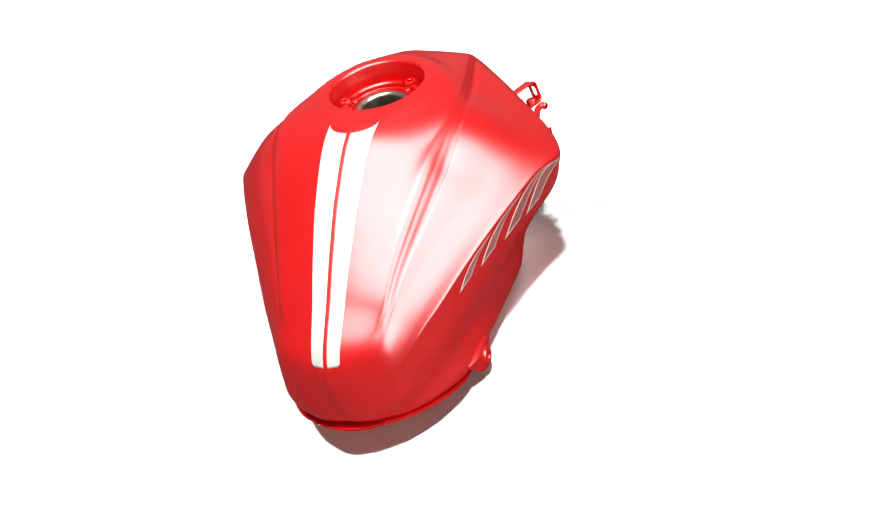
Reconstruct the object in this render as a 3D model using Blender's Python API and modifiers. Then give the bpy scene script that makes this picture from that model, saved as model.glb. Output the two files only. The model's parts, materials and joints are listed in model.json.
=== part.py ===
"""A motorcycle fuel tank: two pressed halves on a tunnelled pan, with its filler, brackets, sender and tap."""

import math

import bmesh
import bpy
from mathutils import Matrix, Vector
from mathutils.bvhtree import BVHTree

MM = 0.001

# Sheet metal, and the clearance between pieces that touch.
SHEET = 1.0 * MM
GAP = 0.3 * MM
SEAM_GAP = 0.8 * MM
RIM_GAP = 1.9 * MM
LIP = 6.0 * MM

# Filler: the mouth is flush with the top of the tank, and its axis is upright.
FILLER_Y = 77.2 * MM
MOUTH_Z = 265.0 * MM
MOUTH_RADIUS = 52.0 * MM
COLLAR_REACH = 32.0 * MM
COLLAR_FLAT = 4.0 * MM
DISH_DEPTH = 28.0 * MM
NECK_BORE = 22.0 * MM
NECK_WALL = 1.2 * MM
NECK_LIP_HEIGHT = 3.0 * MM
NECK_LENGTH = 38.0 * MM
RING_GUTTER = 8.0 * MM
RING_WIDTH = 10.0 * MM
LIP_CLEARANCE = 3.0 * MM
RING_OUTER = MOUTH_RADIUS - SHEET - RING_GUTTER
RING_INNER = RING_OUTER - RING_WIDTH
NECK_LIP_RADIUS = RING_INNER - LIP_CLEARANCE
RING_HEIGHT = 5.0 * MM
CAP_SCREWS = 3
CAP_SCREW_INSET = 2.0 * MM
CAP_SCREW_START = math.radians(57)
CAP_BOSS_RADIUS = 6.0 * MM
CAP_BOSS_HEIGHT = 10.5 * MM
CAP_SCREW_RADIUS = 2.6 * MM
DRAIN_RADIUS = 2.5 * MM
DRAIN_WALL = 0.6 * MM
DRAIN_BELOW_ROOF = 10.0 * MM

# Key lines of one pressed half, in mm: x from the middle, y from the filler axis, z from the floor.
# Each runs from the rear flange up the rear face, over the top and down the front to the front flange.
SPINE_LINE = (
    (0, -284, 43), (0, -292, 66), (0, -290, 122), (0, -243, 167), (0, -205, 200), (0, -162, 232),
    (0, -100, 263), (0, -25, 266), (0, 55, 264), (0, 124, 239), (0, 137, 205), (0, 133, 90),
)
GROOVE_LINE = (
    (22, -284, 43), (28, -290, 66), (46, -276, 121), (58, -244, 147), (67, -208, 171), (79, -167, 193),
    (94, -110, 221), (104, -48, 247), (92, 35, 233), (74, 122, 222), (74, 134, 190), (40, 131, 84),
)
CREASE_LINE = (
    (32, -281, 43), (57, -277, 70), (64, -267, 93), (79, -237, 116), (96, -205, 130), (118, -159, 148),
    (144, -106, 165), (170, -48, 176), (187, -6, 172), (173, 25, 176), (166, 37, 136), (66, 120, 46),
)
FLANGE_LINE = (
    (36, -280, 43), (55, -266, 40), (74, -239, 34), (91, -200, 27), (94, -165, 23), (93, -120, 14),
    (92, -70, 9), (92, -15, 7), (92, 30, 7), (88, 75, 7), (84, 95, 7), (80, 105, 8),
)
STATIONS = len(SPINE_LINE) - 1

# Form between the key lines: how far along from one line to the next, and how much of the fall is used up.
SPINE_CROWN = ((0.22, 0.06), (0.56, 0.25), (0.87, 0.50), (0.955, 0.78))
SHOULDER_CROWN = ((0.10, 0.05), (0.40, 0.27), (0.74, 0.63), (0.95, 0.93))
# Side form: how far along from the crease to the flange, the bulge outwards as a share of that way, and the
# further swell that dies away towards the front.
SIDE_FORM = ((0.06, 0.012, 0), (0.30, 0.05, 0), (0.62, -0.02, 0.05), (0.90, 0, 0.08))
# Stations over which the groove comes out of the rear face, and over which the crease is rounded off.
GROOVE_STARTS = 1.7
GROOVE_GROWS = 1.5
EASE_REAR = 2.4
EASE_FRONT = 7.0
EASE_OVER = 1.6
REAR_EASE = 0.5
CREASE_EASE = 0.9
# Share of its fall that the form keeps on the strip next to the middle line, where the halves meet level.
CREST_FALL = 0.25
ROWS_PER_STATION = 2
COLUMNS = 22

# Pan under the halves, with the tunnel for the frame's backbone tube.
TUNNEL_REAR_HALF = 30.0 * MM
TUNNEL_FRONT_HALF = 44.0 * MM
TUNNEL_REAR_Z = 42.0 * MM
TUNNEL_FRONT_Z = 84.0 * MM
TUNNEL_CORNER = 8.0 * MM
LOBE_DROP = 7.0 * MM
LOBE_CORNER = 12.0 * MM
PAN_ROOM = 8.0 * MM
# Stations over which the lobes come down, and over which the pan leaves the rear and front rims.
LOBE_FROM = 3.0
LOBE_OVER = 3.0
REAR_BLEND = 1.5
FRONT_BLEND = 1.0

# Ears with round bosses, low on both sides.
EAR_Y = -160.0 * MM
EAR_WIDTH = 38.0 * MM
EAR_LOW_Z = 9.0 * MM
EAR_HEIGHT = 27.0 * MM
EAR_THICKNESS = 9.0 * MM
EAR_OUTER_X = 107.0 * MM
BOSS_Z = 23.0 * MM
BOSS_RADIUS = 11.0 * MM
BOSS_LENGTH = 4.5 * MM
BOSS_BORE = 4.5 * MM
BORE_IN_EAR = 5.0 * MM

# Strap bracket, vent nipple and clip tabs at the front.
BRACKET_X = 130.0 * MM
STRAP_WIDTH = 14.0 * MM
STRAP_THICKNESS = 2.5 * MM
ROOT_DEPTH = 3.0 * MM
BRACKET_END_Y = 135.7 * MM
BRACKET_TOP_Z = 183.0 * MM
BRACKET_HEIGHT = 26.0 * MM
BRACKET_BEND = 5.0 * MM
BRACKET_TILT = math.radians(-15)
BRACKET_TURN = math.radians(-29)
SLOT_WIDTH = 8.0 * MM
SLOT_LENGTH = 13.0 * MM
NUT_RADIUS = 6.0 * MM
NUT_HEIGHT = 5.0 * MM
NUT_BORE = 2.6 * MM
NUT_SETBACK = 12.0 * MM
NIPPLE_X = 145.0 * MM
NIPPLE_Z = 166.0 * MM
NIPPLE_RADIUS = 3.6 * MM
NIPPLE_BORE = 2.2 * MM
NIPPLE_END_Y = 104.0 * MM
NIPPLE_INSIDE = 12.0 * MM
CLIP_FROM_NIPPLE = 11.0 * MM
CLIP_Z = 164.0 * MM
CLIP_WIDTH = 14.0 * MM
CLIP_RISE = 7.0 * MM
CLIP_HOLE = 2.5 * MM

# Rear lug under the pan, with its rubber bush and steel sleeve.
LUG_Y = -222.0 * MM
LUG_FOOT = 34.0 * MM
LUG_WIDTH = 12.0 * MM
LUG_EYE_Z = 17.0 * MM
LUG_EYE_RADIUS = 13.0 * MM
BUSH_RADIUS = 9.0 * MM
SLEEVE_RADIUS = 5.5 * MM
SLEEVE_BORE = 3.5 * MM
BUSH_PROUD = 1.5 * MM

# Baffle standing on the tunnel roof.
BAFFLE_Y = -140.0 * MM
BAFFLE_WIDTH = 90.0 * MM
BAFFLE_HEIGHT = 80.0 * MM
BAFFLE_THICKNESS = 1.2 * MM
BAFFLE_FOOT = 16.0 * MM
BAFFLE_HOLE = 11.0 * MM

# Level sender, fixed from below in the tunnel roof.
SENDER_Y = -70.0 * MM
SENDER_RADIUS = 22.0 * MM
SENDER_BORE = 14.0 * MM
SENDER_RING_HEIGHT = 16.0 * MM
SENDER_FLANGE_THICKNESS = 3.0 * MM
SENDER_GASKET = 1.5 * MM
SENDER_POST_WIDTH = 12.0 * MM
SENDER_POST_HEIGHT = 46.0 * MM
SENDER_SCREWS = 4
SENDER_SCREW_CIRCLE = 18.0 * MM
SCREW_HEAD_RADIUS = 3.2 * MM
SCREW_HEAD_HEIGHT = 2.4 * MM
FLOAT_ARM_RADIUS = 1.5 * MM
FLOAT_ARM_REACH = 58.0 * MM
FLOAT_RADIUS = 11.0 * MM
FLOAT_LENGTH = 26.0 * MM
FLOAT_LOW = math.radians(-30)
PIVOT_RADIUS = 3.0 * MM
PIVOT_BELOW_TOP = 5.0 * MM

# Fuel tap under the rear left lobe.
TAP_X = -62.0 * MM
TAP_Y = -190.0 * MM
TAP_BOSS_RADIUS = 11.5 * MM
TAP_BOSS_HEIGHT = 10.0 * MM
TAP_BORE = 5.0 * MM
TAP_GASKET = 1.0 * MM
TAP_FLANGE_THICKNESS = 3.0 * MM
TAP_BODY_RADIUS = 9.0 * MM
TAP_BODY_HEIGHT = 9.0 * MM
TAP_SPIGOT_RADIUS = 3.5 * MM
TAP_SPIGOT_BORE = 2.0 * MM
TAP_SPIGOT_LENGTH = 20.0 * MM
STRAINER_RADIUS = 4.0 * MM
STRAINER_BORE = 2.8 * MM
STRAINER_LENGTH = 45.0 * MM
LEVER_RADIUS = 8.0 * MM
LEVER_THICKNESS = 3.0 * MM
LEVER_LENGTH = 22.0 * MM
LEVER_WIDTH = 7.0 * MM

for old in list(bpy.data.objects):
    bpy.data.objects.remove(old)


def new_collection(name):
    collection = bpy.data.collections.new(name)
    bpy.context.scene.collection.children.link(collection)
    return collection


TANK = new_collection("fuel_tank")
CUTTERS = new_collection("cutters")


def finish(name, colour, roughness, metallic):
    material = bpy.data.materials.new(name)
    material.use_nodes = True
    shader = material.node_tree.nodes["Principled BSDF"]
    shader.inputs["Base Color"].default_value = (*colour, 1)
    shader.inputs["Roughness"].default_value = roughness
    shader.inputs["Metallic"].default_value = metallic
    return material


RED_PAINT = finish("red_paint", (0.55, 0.012, 0.03), 0.35, 0.0)
BARE_STEEL = finish("bare_steel", (0.55, 0.54, 0.52), 0.3, 1.0)
ZINC_STEEL = finish("zinc_steel", (0.6, 0.6, 0.58), 0.4, 1.0)
CAST_ALLOY = finish("cast_alloy", (0.5, 0.5, 0.5), 0.5, 1.0)
BLACK_RUBBER = finish("black_rubber", (0.02, 0.02, 0.02), 0.8, 0.0)
BLACK_PLASTIC = finish("black_plastic", (0.03, 0.03, 0.03), 0.5, 0.0)


def made(name, mesh, material):
    """A new object for a sub-part, in the tank's collection."""
    item = bpy.data.objects.new(name, mesh)
    TANK.objects.link(item)
    if material:
        mesh.materials.append(material)
    return item


def made_cutter(item):
    for collection in list(item.users_collection):
        collection.objects.unlink(item)
    CUTTERS.objects.link(item)
    item.hide_render = True
    item.display_type = "WIRE"
    return item


def mesh_from(bm, name):
    mesh = bpy.data.meshes.new(name)
    bm.to_mesh(mesh)
    bm.free()
    return mesh


def boolean(item, other, operation):
    modifier = item.modifiers.new(operation.lower(), "BOOLEAN")
    modifier.operation = operation
    modifier.solver = "EXACT"
    modifier.object = made_cutter(other)


def cylinder(name, material, radius, start, end, segments=24):
    """A solid cylinder between two points."""
    start = Vector(start)
    end = Vector(end)
    bm = bmesh.new()
    bmesh.ops.create_cone(
        bm, cap_ends=True, segments=segments, radius1=radius, radius2=radius, depth=(end - start).length
    )
    turn = Vector((0, 0, 1)).rotation_difference(end - start).to_matrix().to_4x4()
    bm.transform(Matrix.Translation((start + end) / 2) @ turn)
    mesh = mesh_from(bm, name)
    mesh.shade_smooth()
    mesh.set_sharp_from_angle(angle=math.radians(40))
    return made(name, mesh, material)


def box(name, material, low, high):
    low = Vector(low)
    high = Vector(high)
    bm = bmesh.new()
    bmesh.ops.create_cube(bm, size=1)
    size = high - low
    bm.transform(Matrix.Translation((low + high) / 2) @ Matrix.Diagonal((*size, 1)))
    return made(name, mesh_from(bm, name), material)


def turned(name, material, profile, centre, steps=40):
    """A shape turned about an upright axis; the closed profile of (radius, z) runs down its outer side."""
    mesh = bpy.data.meshes.new(name)
    points = [(radius, 0, z) for radius, z in profile]
    edges = [(i, (i + 1) % len(points)) for i in range(len(points))]
    mesh.from_pydata(points, edges, [])
    item = made(name, mesh, material)
    item.location = centre
    screw = item.modifiers.new("turn", "SCREW")
    screw.steps = steps
    screw.render_steps = steps
    screw.merge_threshold = 0.01 * MM
    return item


def ring(name, material, inner, outer, low, high, centre, steps=32):
    return turned(name, material, [(outer, high), (outer, low), (inner, low), (inner, high)], centre, steps)


def prism(name, material, outline, thickness, matrix):
    """A flat outline given a thickness; the matrix takes the outline's plane to its place."""
    curve = bpy.data.curves.new(name, "CURVE")
    curve.dimensions = "2D"
    curve.fill_mode = "BOTH"
    curve.extrude = thickness / 2
    spline = curve.splines.new("POLY")
    spline.points.add(len(outline) - 1)
    for point, (x, y) in zip(spline.points, outline):
        point.co = (x, y, 0, 1)
    spline.use_cyclic_u = True
    drawn = bpy.data.objects.new(name + "_outline", curve)
    TANK.objects.link(drawn)
    graph = bpy.context.evaluated_depsgraph_get()
    mesh = bpy.data.meshes.new_from_object(drawn.evaluated_get(graph))
    bpy.data.objects.remove(drawn)
    bm = bmesh.new()
    bm.from_mesh(mesh)
    bmesh.ops.remove_doubles(bm, verts=bm.verts, dist=0.001 * MM)
    bm.transform(matrix)
    bmesh.ops.recalc_face_normals(bm, faces=bm.faces)
    bm.to_mesh(mesh)
    bm.free()
    mesh.name = name
    mesh.materials.clear()
    return made(name, mesh, material)


def rounded_outline(corners, radius, steps=4):
    """The corners of a closed outline, each turned into an arc."""
    points = []
    for i, corner in enumerate(corners):
        here = Vector(corner)
        before = (Vector(corners[i - 1]) - here).normalized()
        after = (Vector(corners[(i + 1) % len(corners)]) - here).normalized()
        half = before.angle(after) / 2
        centre = here + (before + after).normalized() * radius / math.sin(half)
        first = here + before * radius / math.tan(half) - centre
        last = here + after * radius / math.tan(half) - centre
        for k in range(steps + 1):
            arm = first.lerp(last, k / steps).normalized() * radius
            points.append(tuple(centre + arm))
    return points


def smooth_step(value):
    value = min(1.0, max(0.0, value))
    return value * value * (3 - 2 * value)


def along(points, position):
    """A point on the smooth curve that passes through all the points, one unit of position apart."""
    last = len(points) - 1
    i = min(int(position), last - 1)
    t = position - i
    b = points[i]
    c = points[i + 1]
    a = points[i - 1] if i else 2 * b - c
    d = points[i + 2] if i + 2 <= last else 2 * c - b
    return b + t / 2 * (c - a + t * (2 * a - 5 * b + 4 * c - d + t * (3 * (b - c) + d - a)))


def key_point(line, station):
    point = along([Vector(p) for p in line], station) * MM
    return point + Vector((0, FILLER_Y, 0))


def fall(start, end, crown):
    """Points between two key lines, where the surface keeps its height and then falls away."""
    points = []
    for share, used in crown:
        point = start.lerp(end, share)
        point.z = start.z + (end.z - start.z) * used
        points.append(point)
    return points


def rib(station):
    """The form across one half at a station, from the middle to the flange."""
    spine = key_point(SPINE_LINE, station)
    groove = key_point(GROOVE_LINE, station)
    crease = key_point(CREASE_LINE, station)
    flange = key_point(FLANGE_LINE, station)
    front = smooth_step((station - EASE_FRONT) / EASE_OVER)
    drop = (flange - crease).length
    side = []
    for share, bulge, swell in SIDE_FORM:
        side.append(crease.lerp(flange, share) + Vector(((bulge + swell * (1 - front)) * drop, 0, 0)))
    top = [spine, *fall(spine, groove, SPINE_CROWN), groove, *fall(groove, crease, SHOULDER_CROWN), crease]
    plain = 1 - smooth_step((station - GROOVE_STARTS) / GROOVE_GROWS)
    pull = 2 * groove - (spine + crease) / 2
    last = len(top) - 1
    for column, point in enumerate(top):
        t = column / last
        arc = spine * (1 - t) ** 2 + pull * 2 * t * (1 - t) + crease * t * t
        top[column] = point.lerp(arc, plain)
    rear = REAR_EASE * smooth_step((EASE_REAR - station) / EASE_OVER)
    top[last] = top[last].lerp((top[last - 1] + side[0]) / 2, CREASE_EASE * max(front, rear))
    return [*top, *side, flange]


def collared(point):
    """Levels the form with the mouth's rim round the filler."""
    reach = math.hypot(point.x, point.y - FILLER_Y) - MOUTH_RADIUS
    share = 1 - smooth_step((reach - COLLAR_FLAT) / COLLAR_REACH)
    near_top = point.z > MOUTH_Z - DISH_DEPTH
    if near_top:
        point.z += (MOUTH_Z - point.z) * share
    return point


def half_rows():
    """The right half's surface as rows of points, from the rear flange to the front flange."""
    rows = []
    for i in range(STATIONS * ROWS_PER_STATION + 1):
        points = rib(i / ROWS_PER_STATION)
        spread = len(points) - 1
        row = [collared(along(points, j * spread / (COLUMNS - 1))) for j in range(COLUMNS)]
        row[0].x = SEAM_GAP / 2
        row[1] = Vector((row[1].x, *row[0].lerp(row[1], CREST_FALL).yz))
        rows.append(row)
    return rows


ROWS = half_rows()


def rim_of(rows):
    """The flange's root line from the rear middle round the side to the front middle."""
    rear = rows[0][:-1]
    side = [row[-1] for row in rows]
    front = rows[-1][-2::-1]
    return rear + side + front


def rim_frames(rim):
    """For each point of the rim, the level direction away from the tank and the lip's upward normal."""
    frames = []
    for i in range(len(rim)):
        tangent = rim[min(i + 1, len(rim) - 1)] - rim[max(i - 1, 0)]
        if i in (0, len(rim) - 1):
            tangent = Vector((tangent.x, 0, 0))
        outward = Vector((tangent.y, -tangent.x, 0)).normalized()
        frames.append((outward, outward.cross(tangent).normalized()))
    return frames


RIM = rim_of(ROWS)
RIM_FRAMES = rim_frames(RIM)


def sheet_mesh(name, rows, rim, side, lip=LIP):
    """An open sheet from its rows, with the lip on its rim; side is 1 for right and -1 for left."""
    bm = bmesh.new()

    def vertex(point):
        return bm.verts.new((side * point.x, point.y, point.z))

    def quad(corners):
        bm.faces.new(corners if side > 0 else corners[::-1])

    grid = [[vertex(point) for point in row] for row in rows]
    for low, high in zip(grid, grid[1:]):
        for j in range(len(low) - 1):
            quad((low[j], low[j + 1], high[j + 1], high[j]))
    root = rim_of(grid)
    edge = [vertex(point + frame[0] * lip) for point, frame in zip(rim, RIM_FRAMES)]
    for i in range(len(root) - 1):
        quad((edge[i], edge[i + 1], root[i + 1], root[i]))
    mesh = mesh_from(bm, name)
    mesh.shade_smooth()
    return mesh


def thicken(item, thickness, offset=-1, even=True):
    modifier = item.modifiers.new("sheet", "SOLIDIFY")
    modifier.thickness = thickness
    modifier.offset = offset
    modifier.use_even_offset = even


def pressed_half(name, side):
    item = made(name, sheet_mesh(name, ROWS, RIM, side), RED_PAINT)
    thicken(item, SHEET, even=False)
    hole = cylinder(
        name + "_mouth",
        None,
        MOUTH_RADIUS + GAP,
        (0, FILLER_Y, MOUTH_Z - DISH_DEPTH),
        (0, FILLER_Y, MOUTH_Z + DISH_DEPTH),
        segments=64,
    )
    boolean(item, hole, "DIFFERENCE")
    return item


def roof_z(y):
    """Height of the tunnel roof's upper face at a distance along the tank."""
    rear = RIM[0].y
    front = RIM[-1].y
    return TUNNEL_REAR_Z + (TUNNEL_FRONT_Z - TUNNEL_REAR_Z) * (y - rear) / (front - rear)


def lobe_z(station):
    """Height of the lobes' upper face, which comes down to the floor towards the front."""
    flange = key_point(FLANGE_LINE, station).z
    return max(0.0, flange - LOBE_DROP * smooth_step((station - LOBE_FROM) / LOBE_OVER)) + SHEET


def pan_section(station, edge):
    """Corners of the pan across one half: tunnel roof, tunnel wall, lobe, flange root."""
    y = edge.y
    share = station / STATIONS
    half = TUNNEL_REAR_HALF + (TUNNEL_FRONT_HALF - TUNNEL_REAR_HALF) * share
    roof = roof_z(y)
    lobe = lobe_z(station)
    return [
        Vector((0, y, roof)),
        Vector((half - TUNNEL_CORNER, y, roof)),
        Vector((half, y, roof - TUNNEL_CORNER)),
        Vector((half + TUNNEL_CORNER / 2, y, max(lobe, min(lobe + TUNNEL_CORNER, roof - TUNNEL_CORNER)))),
        Vector((half + LOBE_CORNER, y, lobe)),
        Vector((edge.x - LOBE_CORNER, y, lobe)),
        edge,
    ]


def straight(points, position):
    i = min(int(position), len(points) - 2)
    return points[i].lerp(points[i + 1], position - i)


def pan_rows():
    """The right half of the pan, whose rim lies just under the pressed half's rim."""
    under = [point - frame[1] * (SHEET + RIM_GAP) for point, frame in zip(RIM, RIM_FRAMES)]
    side = under[COLUMNS - 1 : COLUMNS - 1 + len(ROWS)]
    rear = under[:COLUMNS]
    front = under[-COLUMNS:][::-1]
    rows = []
    for i, edge in enumerate(side):
        station = i / ROWS_PER_STATION
        corners = pan_section(station, edge)
        from_rear = smooth_step(station / REAR_BLEND)
        from_front = smooth_step((STATIONS - station) / FRONT_BLEND)
        row = []
        for j in range(COLUMNS):
            point = straight(corners, j * (len(corners) - 1) / (COLUMNS - 1))
            point = rear[j].lerp(point, from_rear)
            point = front[j].lerp(point, from_front)
            row.append(point)
        row[0].x = 0
        rows.append(row)
    return rows, under


PAN_ROWS, PAN_RIM = pan_rows()


def pan_half_mesh():
    mesh = sheet_mesh("pan", PAN_ROWS, PAN_RIM, 1)
    for point in mesh.vertices:
        if abs(point.co.x) < SEAM_GAP:
            point.co.x = 0
    return mesh


def mirrored(item):
    modifier = item.modifiers.new("other_side", "MIRROR")
    modifier.merge_threshold = 0.01 * MM


def build_pan():
    item = made("bottom_pan", pan_half_mesh(), RED_PAINT)
    mirrored(item)
    thicken(item, SHEET, even=False)
    return item


def pan_z(x, y):
    """Height of the pan's upper face at a place."""
    bm = bmesh.new()
    bm.from_mesh(pan_half_mesh())
    hit = BVHTree.FromBMesh(bm).ray_cast(Vector((abs(x), y, 1)), Vector((0, 0, -1)))[0]
    bm.free()
    return hit.z


def pan_hole(pan, name, radius, x, y, z, depth):
    hole = cylinder(name, None, radius, (x, y, z - depth), (x, y, z + depth), segments=32)
    boolean(pan, hole, "DIFFERENCE")


def under_pan(item, inward=PAN_ROOM):
    """Trims a piece to stand just below the pan."""
    cutter = made("pan_room", pan_half_mesh(), None)
    mirrored(cutter)
    thicken(cutter, inward + SHEET + GAP, -1 + 2 * inward / (inward + SHEET + GAP))
    boolean(item, cutter, "DIFFERENCE")


def build_filler():
    centre = (0, FILLER_Y, MOUTH_Z)
    floor = -DISH_DEPTH
    neck_outer = NECK_BORE + NECK_WALL
    inner = MOUTH_RADIUS - SHEET
    dish = turned(
        "filler_dish",
        RED_PAINT,
        [
            (MOUTH_RADIUS, 0),
            (MOUTH_RADIUS, floor - SHEET),
            (neck_outer + GAP, floor - SHEET),
            (neck_outer + GAP, floor),
            (inner, floor),
            (inner, 0),
        ],
        centre,
        steps=64,
    )
    drain_at = MOUTH_RADIUS - SHEET - GAP - DRAIN_RADIUS - DRAIN_WALL
    drain_y = FILLER_Y + drain_at
    drain_outer = DRAIN_RADIUS + DRAIN_WALL
    top = MOUTH_Z + floor
    bottom = roof_z(drain_y) - DRAIN_BELOW_ROOF
    hole = cylinder("dish_drain", None, drain_outer + GAP, (0, drain_y, top - LIP), (0, drain_y, top + LIP))
    boolean(dish, hole, "DIFFERENCE")
    ring("drain_tube", ZINC_STEEL, DRAIN_RADIUS, drain_outer, bottom - top, 0, (0, drain_y, top), steps=16)
    lip_low = floor + GAP
    lip_high = lip_low + NECK_LIP_HEIGHT
    round_off = NECK_LIP_HEIGHT / 3
    turned(
        "filler_neck",
        BARE_STEEL,
        [
            (NECK_LIP_RADIUS - round_off, lip_high),
            (NECK_LIP_RADIUS, lip_high - round_off),
            (NECK_LIP_RADIUS, lip_low),
            (neck_outer, lip_low),
            (neck_outer, lip_low - NECK_LENGTH),
            (NECK_BORE, lip_low - NECK_LENGTH),
            (NECK_BORE, lip_high - round_off),
            (NECK_BORE + round_off, lip_high),
        ],
        centre,
        steps=40,
    )
    build_cap_ring(floor + GAP)
    return drain_y, drain_outer


def build_cap_ring(low):
    centre = Vector((0, FILLER_Y, MOUTH_Z))
    screw_circle = RING_OUTER - CAP_SCREW_INSET
    item = ring("cap_ring", RED_PAINT, RING_INNER, RING_OUTER, low, low + RING_HEIGHT, centre, steps=48)
    for i in range(CAP_SCREWS):
        angle = CAP_SCREW_START + i * math.tau / CAP_SCREWS
        reach = Vector((math.cos(angle), math.sin(angle), 0)) * screw_circle
        foot = centre + reach + Vector((0, 0, low))
        top = foot + Vector((0, 0, CAP_BOSS_HEIGHT))
        boss = cylinder(f"cap_boss_{i}", None, CAP_BOSS_RADIUS, foot, top)
        boolean(item, boss, "UNION")
    for i in range(CAP_SCREWS):
        angle = CAP_SCREW_START + i * math.tau / CAP_SCREWS
        reach = Vector((math.cos(angle), math.sin(angle), 0)) * screw_circle
        foot = centre + reach + Vector((0, 0, low + RING_HEIGHT / 2))
        above = foot + Vector((0, 0, 2 * CAP_BOSS_HEIGHT))
        hole = cylinder(f"cap_screw_{i}", None, CAP_SCREW_RADIUS, foot, above, segments=16)
        boolean(item, hole, "DIFFERENCE")


def build_ear(name, side):
    y = FILLER_Y + EAR_Y
    half = EAR_WIDTH / 2
    low = EAR_LOW_Z
    outline = rounded_outline(
        [(y - half, low), (y + half, low), (y + half, low + EAR_HEIGHT), (y - half, low + EAR_HEIGHT)],
        EAR_HEIGHT / 3,
    )
    plane = Matrix(((0, 0, 1, 0), (1, 0, 0, 0), (0, 1, 0, 0), (0, 0, 0, 1)))
    middle = side * (EAR_OUTER_X - EAR_THICKNESS / 2)
    ear = prism("ear_" + name, RED_PAINT, outline, EAR_THICKNESS, Matrix.Translation((middle, 0, 0)) @ plane)
    boolean(ear, shell_room("ear_room_" + name, side, EAR_HEIGHT, LIP + 2 * GAP), "DIFFERENCE")
    root = side * (EAR_OUTER_X + GAP)
    tip = root + side * BOSS_LENGTH
    boss = cylinder("ear_boss_" + name, RED_PAINT, BOSS_RADIUS, (root, y, BOSS_Z), (tip, y, BOSS_Z), 32)
    for piece, what in ((boss, "boss"), (ear, "ear")):
        bore = cylinder(
            f"{what}_bore_{name}",
            None,
            BOSS_BORE,
            (root - side * BORE_IN_EAR, y, BOSS_Z),
            (tip + side * BOSS_LENGTH, y, BOSS_Z),
            20,
        )
        boolean(piece, bore, "DIFFERENCE")


def shell_room(name, side, depth, lip=LIP):
    """The space of a pressed half, a little thicker than its sheet and deep inwards."""
    item = made(name, sheet_mesh(name, ROWS, RIM, side, lip), None)
    thicken(item, depth, 2 * GAP / depth - 1, even=False)
    return item


def wall_hit(origin, direction):
    """Point and outward normal where a straight line first meets the right half's surface."""
    bm = bmesh.new()
    bm.from_mesh(sheet_mesh("wall", ROWS, RIM, 1))
    point, normal, *_ = BVHTree.FromBMesh(bm).ray_cast(origin, direction)
    bm.free()
    return point, normal


def front_wall(x, z):
    """Point and outward normal on the right half's front, at a height and a distance from the middle."""
    return wall_hit(Vector((x, 1, z)), Vector((0, -1, 0)))


def build_bracket():
    end = FILLER_Y + BRACKET_END_Y
    top = BRACKET_TOP_Z
    low = top - BRACKET_HEIGHT
    wall = STRAP_THICKNESS
    middle = Vector((BRACKET_X, 0, (low + top) / 2))
    hinge = middle + Vector((0, end, 0))
    turn = Matrix.Rotation(BRACKET_TURN, 4, "Z") @ Matrix.Rotation(BRACKET_TILT, 4, "Y")
    tilt = Matrix.Translation(hinge) @ turn @ Matrix.Translation(-hinge)
    inward = turn @ Vector((0, -1, 0))
    roots = []
    for z in (top, low):
        edges = [tilt @ Vector((BRACKET_X + side * STRAP_WIDTH / 2, end, z)) for side in (-1, 1)]
        reach = max((wall_hit(edge, inward)[0] - edge).length for edge in edges)
        roots.append(end - reach - ROOT_DEPTH)
    outer = rounded_strap(roots, end, low, top, BRACKET_BEND)
    inner = rounded_strap(roots, end - wall, low + wall, top - wall, BRACKET_BEND - wall)
    plane = Matrix(((0, 0, 1, BRACKET_X), (1, 0, 0, 0), (0, 1, 0, 0), (0, 0, 0, 1)))
    item = prism("front_bracket", RED_PAINT, outer + inner[::-1], STRAP_WIDTH, tilt @ plane)
    boolean(item, shell_room("bracket_room", 1, STRAP_WIDTH + ROOT_DEPTH), "DIFFERENCE")
    slot_half = Vector((SLOT_WIDTH / 2, 0, SLOT_LENGTH / 2))
    slot = box(
        "bracket_slot",
        None,
        middle - slot_half + Vector((0, end - 2 * wall, 0)),
        middle + slot_half + Vector((0, end + wall, 0)),
    )
    slot.data.transform(tilt)
    boolean(item, slot, "DIFFERENCE")
    nut_y = end - NUT_SETBACK
    nut_low = low + wall + GAP
    nut = cylinder(
        "bracket_nut",
        RED_PAINT,
        NUT_RADIUS,
        (BRACKET_X, nut_y, nut_low),
        (BRACKET_X, nut_y, nut_low + NUT_HEIGHT),
        6,
    )
    nut.data.transform(tilt)
    for target, name in ((nut, "nut_bore"), (item, "nut_clearance")):
        bore = cylinder(
            name,
            None,
            NUT_BORE,
            (BRACKET_X, nut_y, low - wall),
            (BRACKET_X, nut_y, top - 2 * wall),
            16,
        )
        bore.data.transform(tilt)
        boolean(target, bore, "DIFFERENCE")


def rounded_strap(roots, end, low, top, bend):
    """One side of the strap's outline, from the upper root round the end to the lower root."""
    points = [(roots[0], top)]
    for centre_z, first in ((top - bend, 90), (low + bend, 0)):
        for k in range(5):
            angle = math.radians(first - 90 * k / 4)
            points.append((end - bend + bend * math.cos(angle), centre_z + bend * math.sin(angle)))
    points.append((roots[1], low))
    return points


def build_nipple(shell):
    start = (NIPPLE_X, front_wall(NIPPLE_X, NIPPLE_Z)[0].y - NIPPLE_INSIDE, NIPPLE_Z)
    end = (NIPPLE_X, FILLER_Y + NIPPLE_END_Y, NIPPLE_Z)
    reach = Vector((0, LIP, 0))
    pipe = cylinder("vent_nipple", RED_PAINT, NIPPLE_RADIUS, start, end, 20)
    bore = cylinder("nipple_bore", None, NIPPLE_BORE, Vector(start) - reach, Vector(end) + reach, 16)
    boolean(pipe, bore, "DIFFERENCE")
    hole = cylinder("nipple_hole", None, NIPPLE_RADIUS + GAP, Vector(start) - reach, Vector(end) + reach, 20)
    boolean(shell, hole, "DIFFERENCE")


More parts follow.
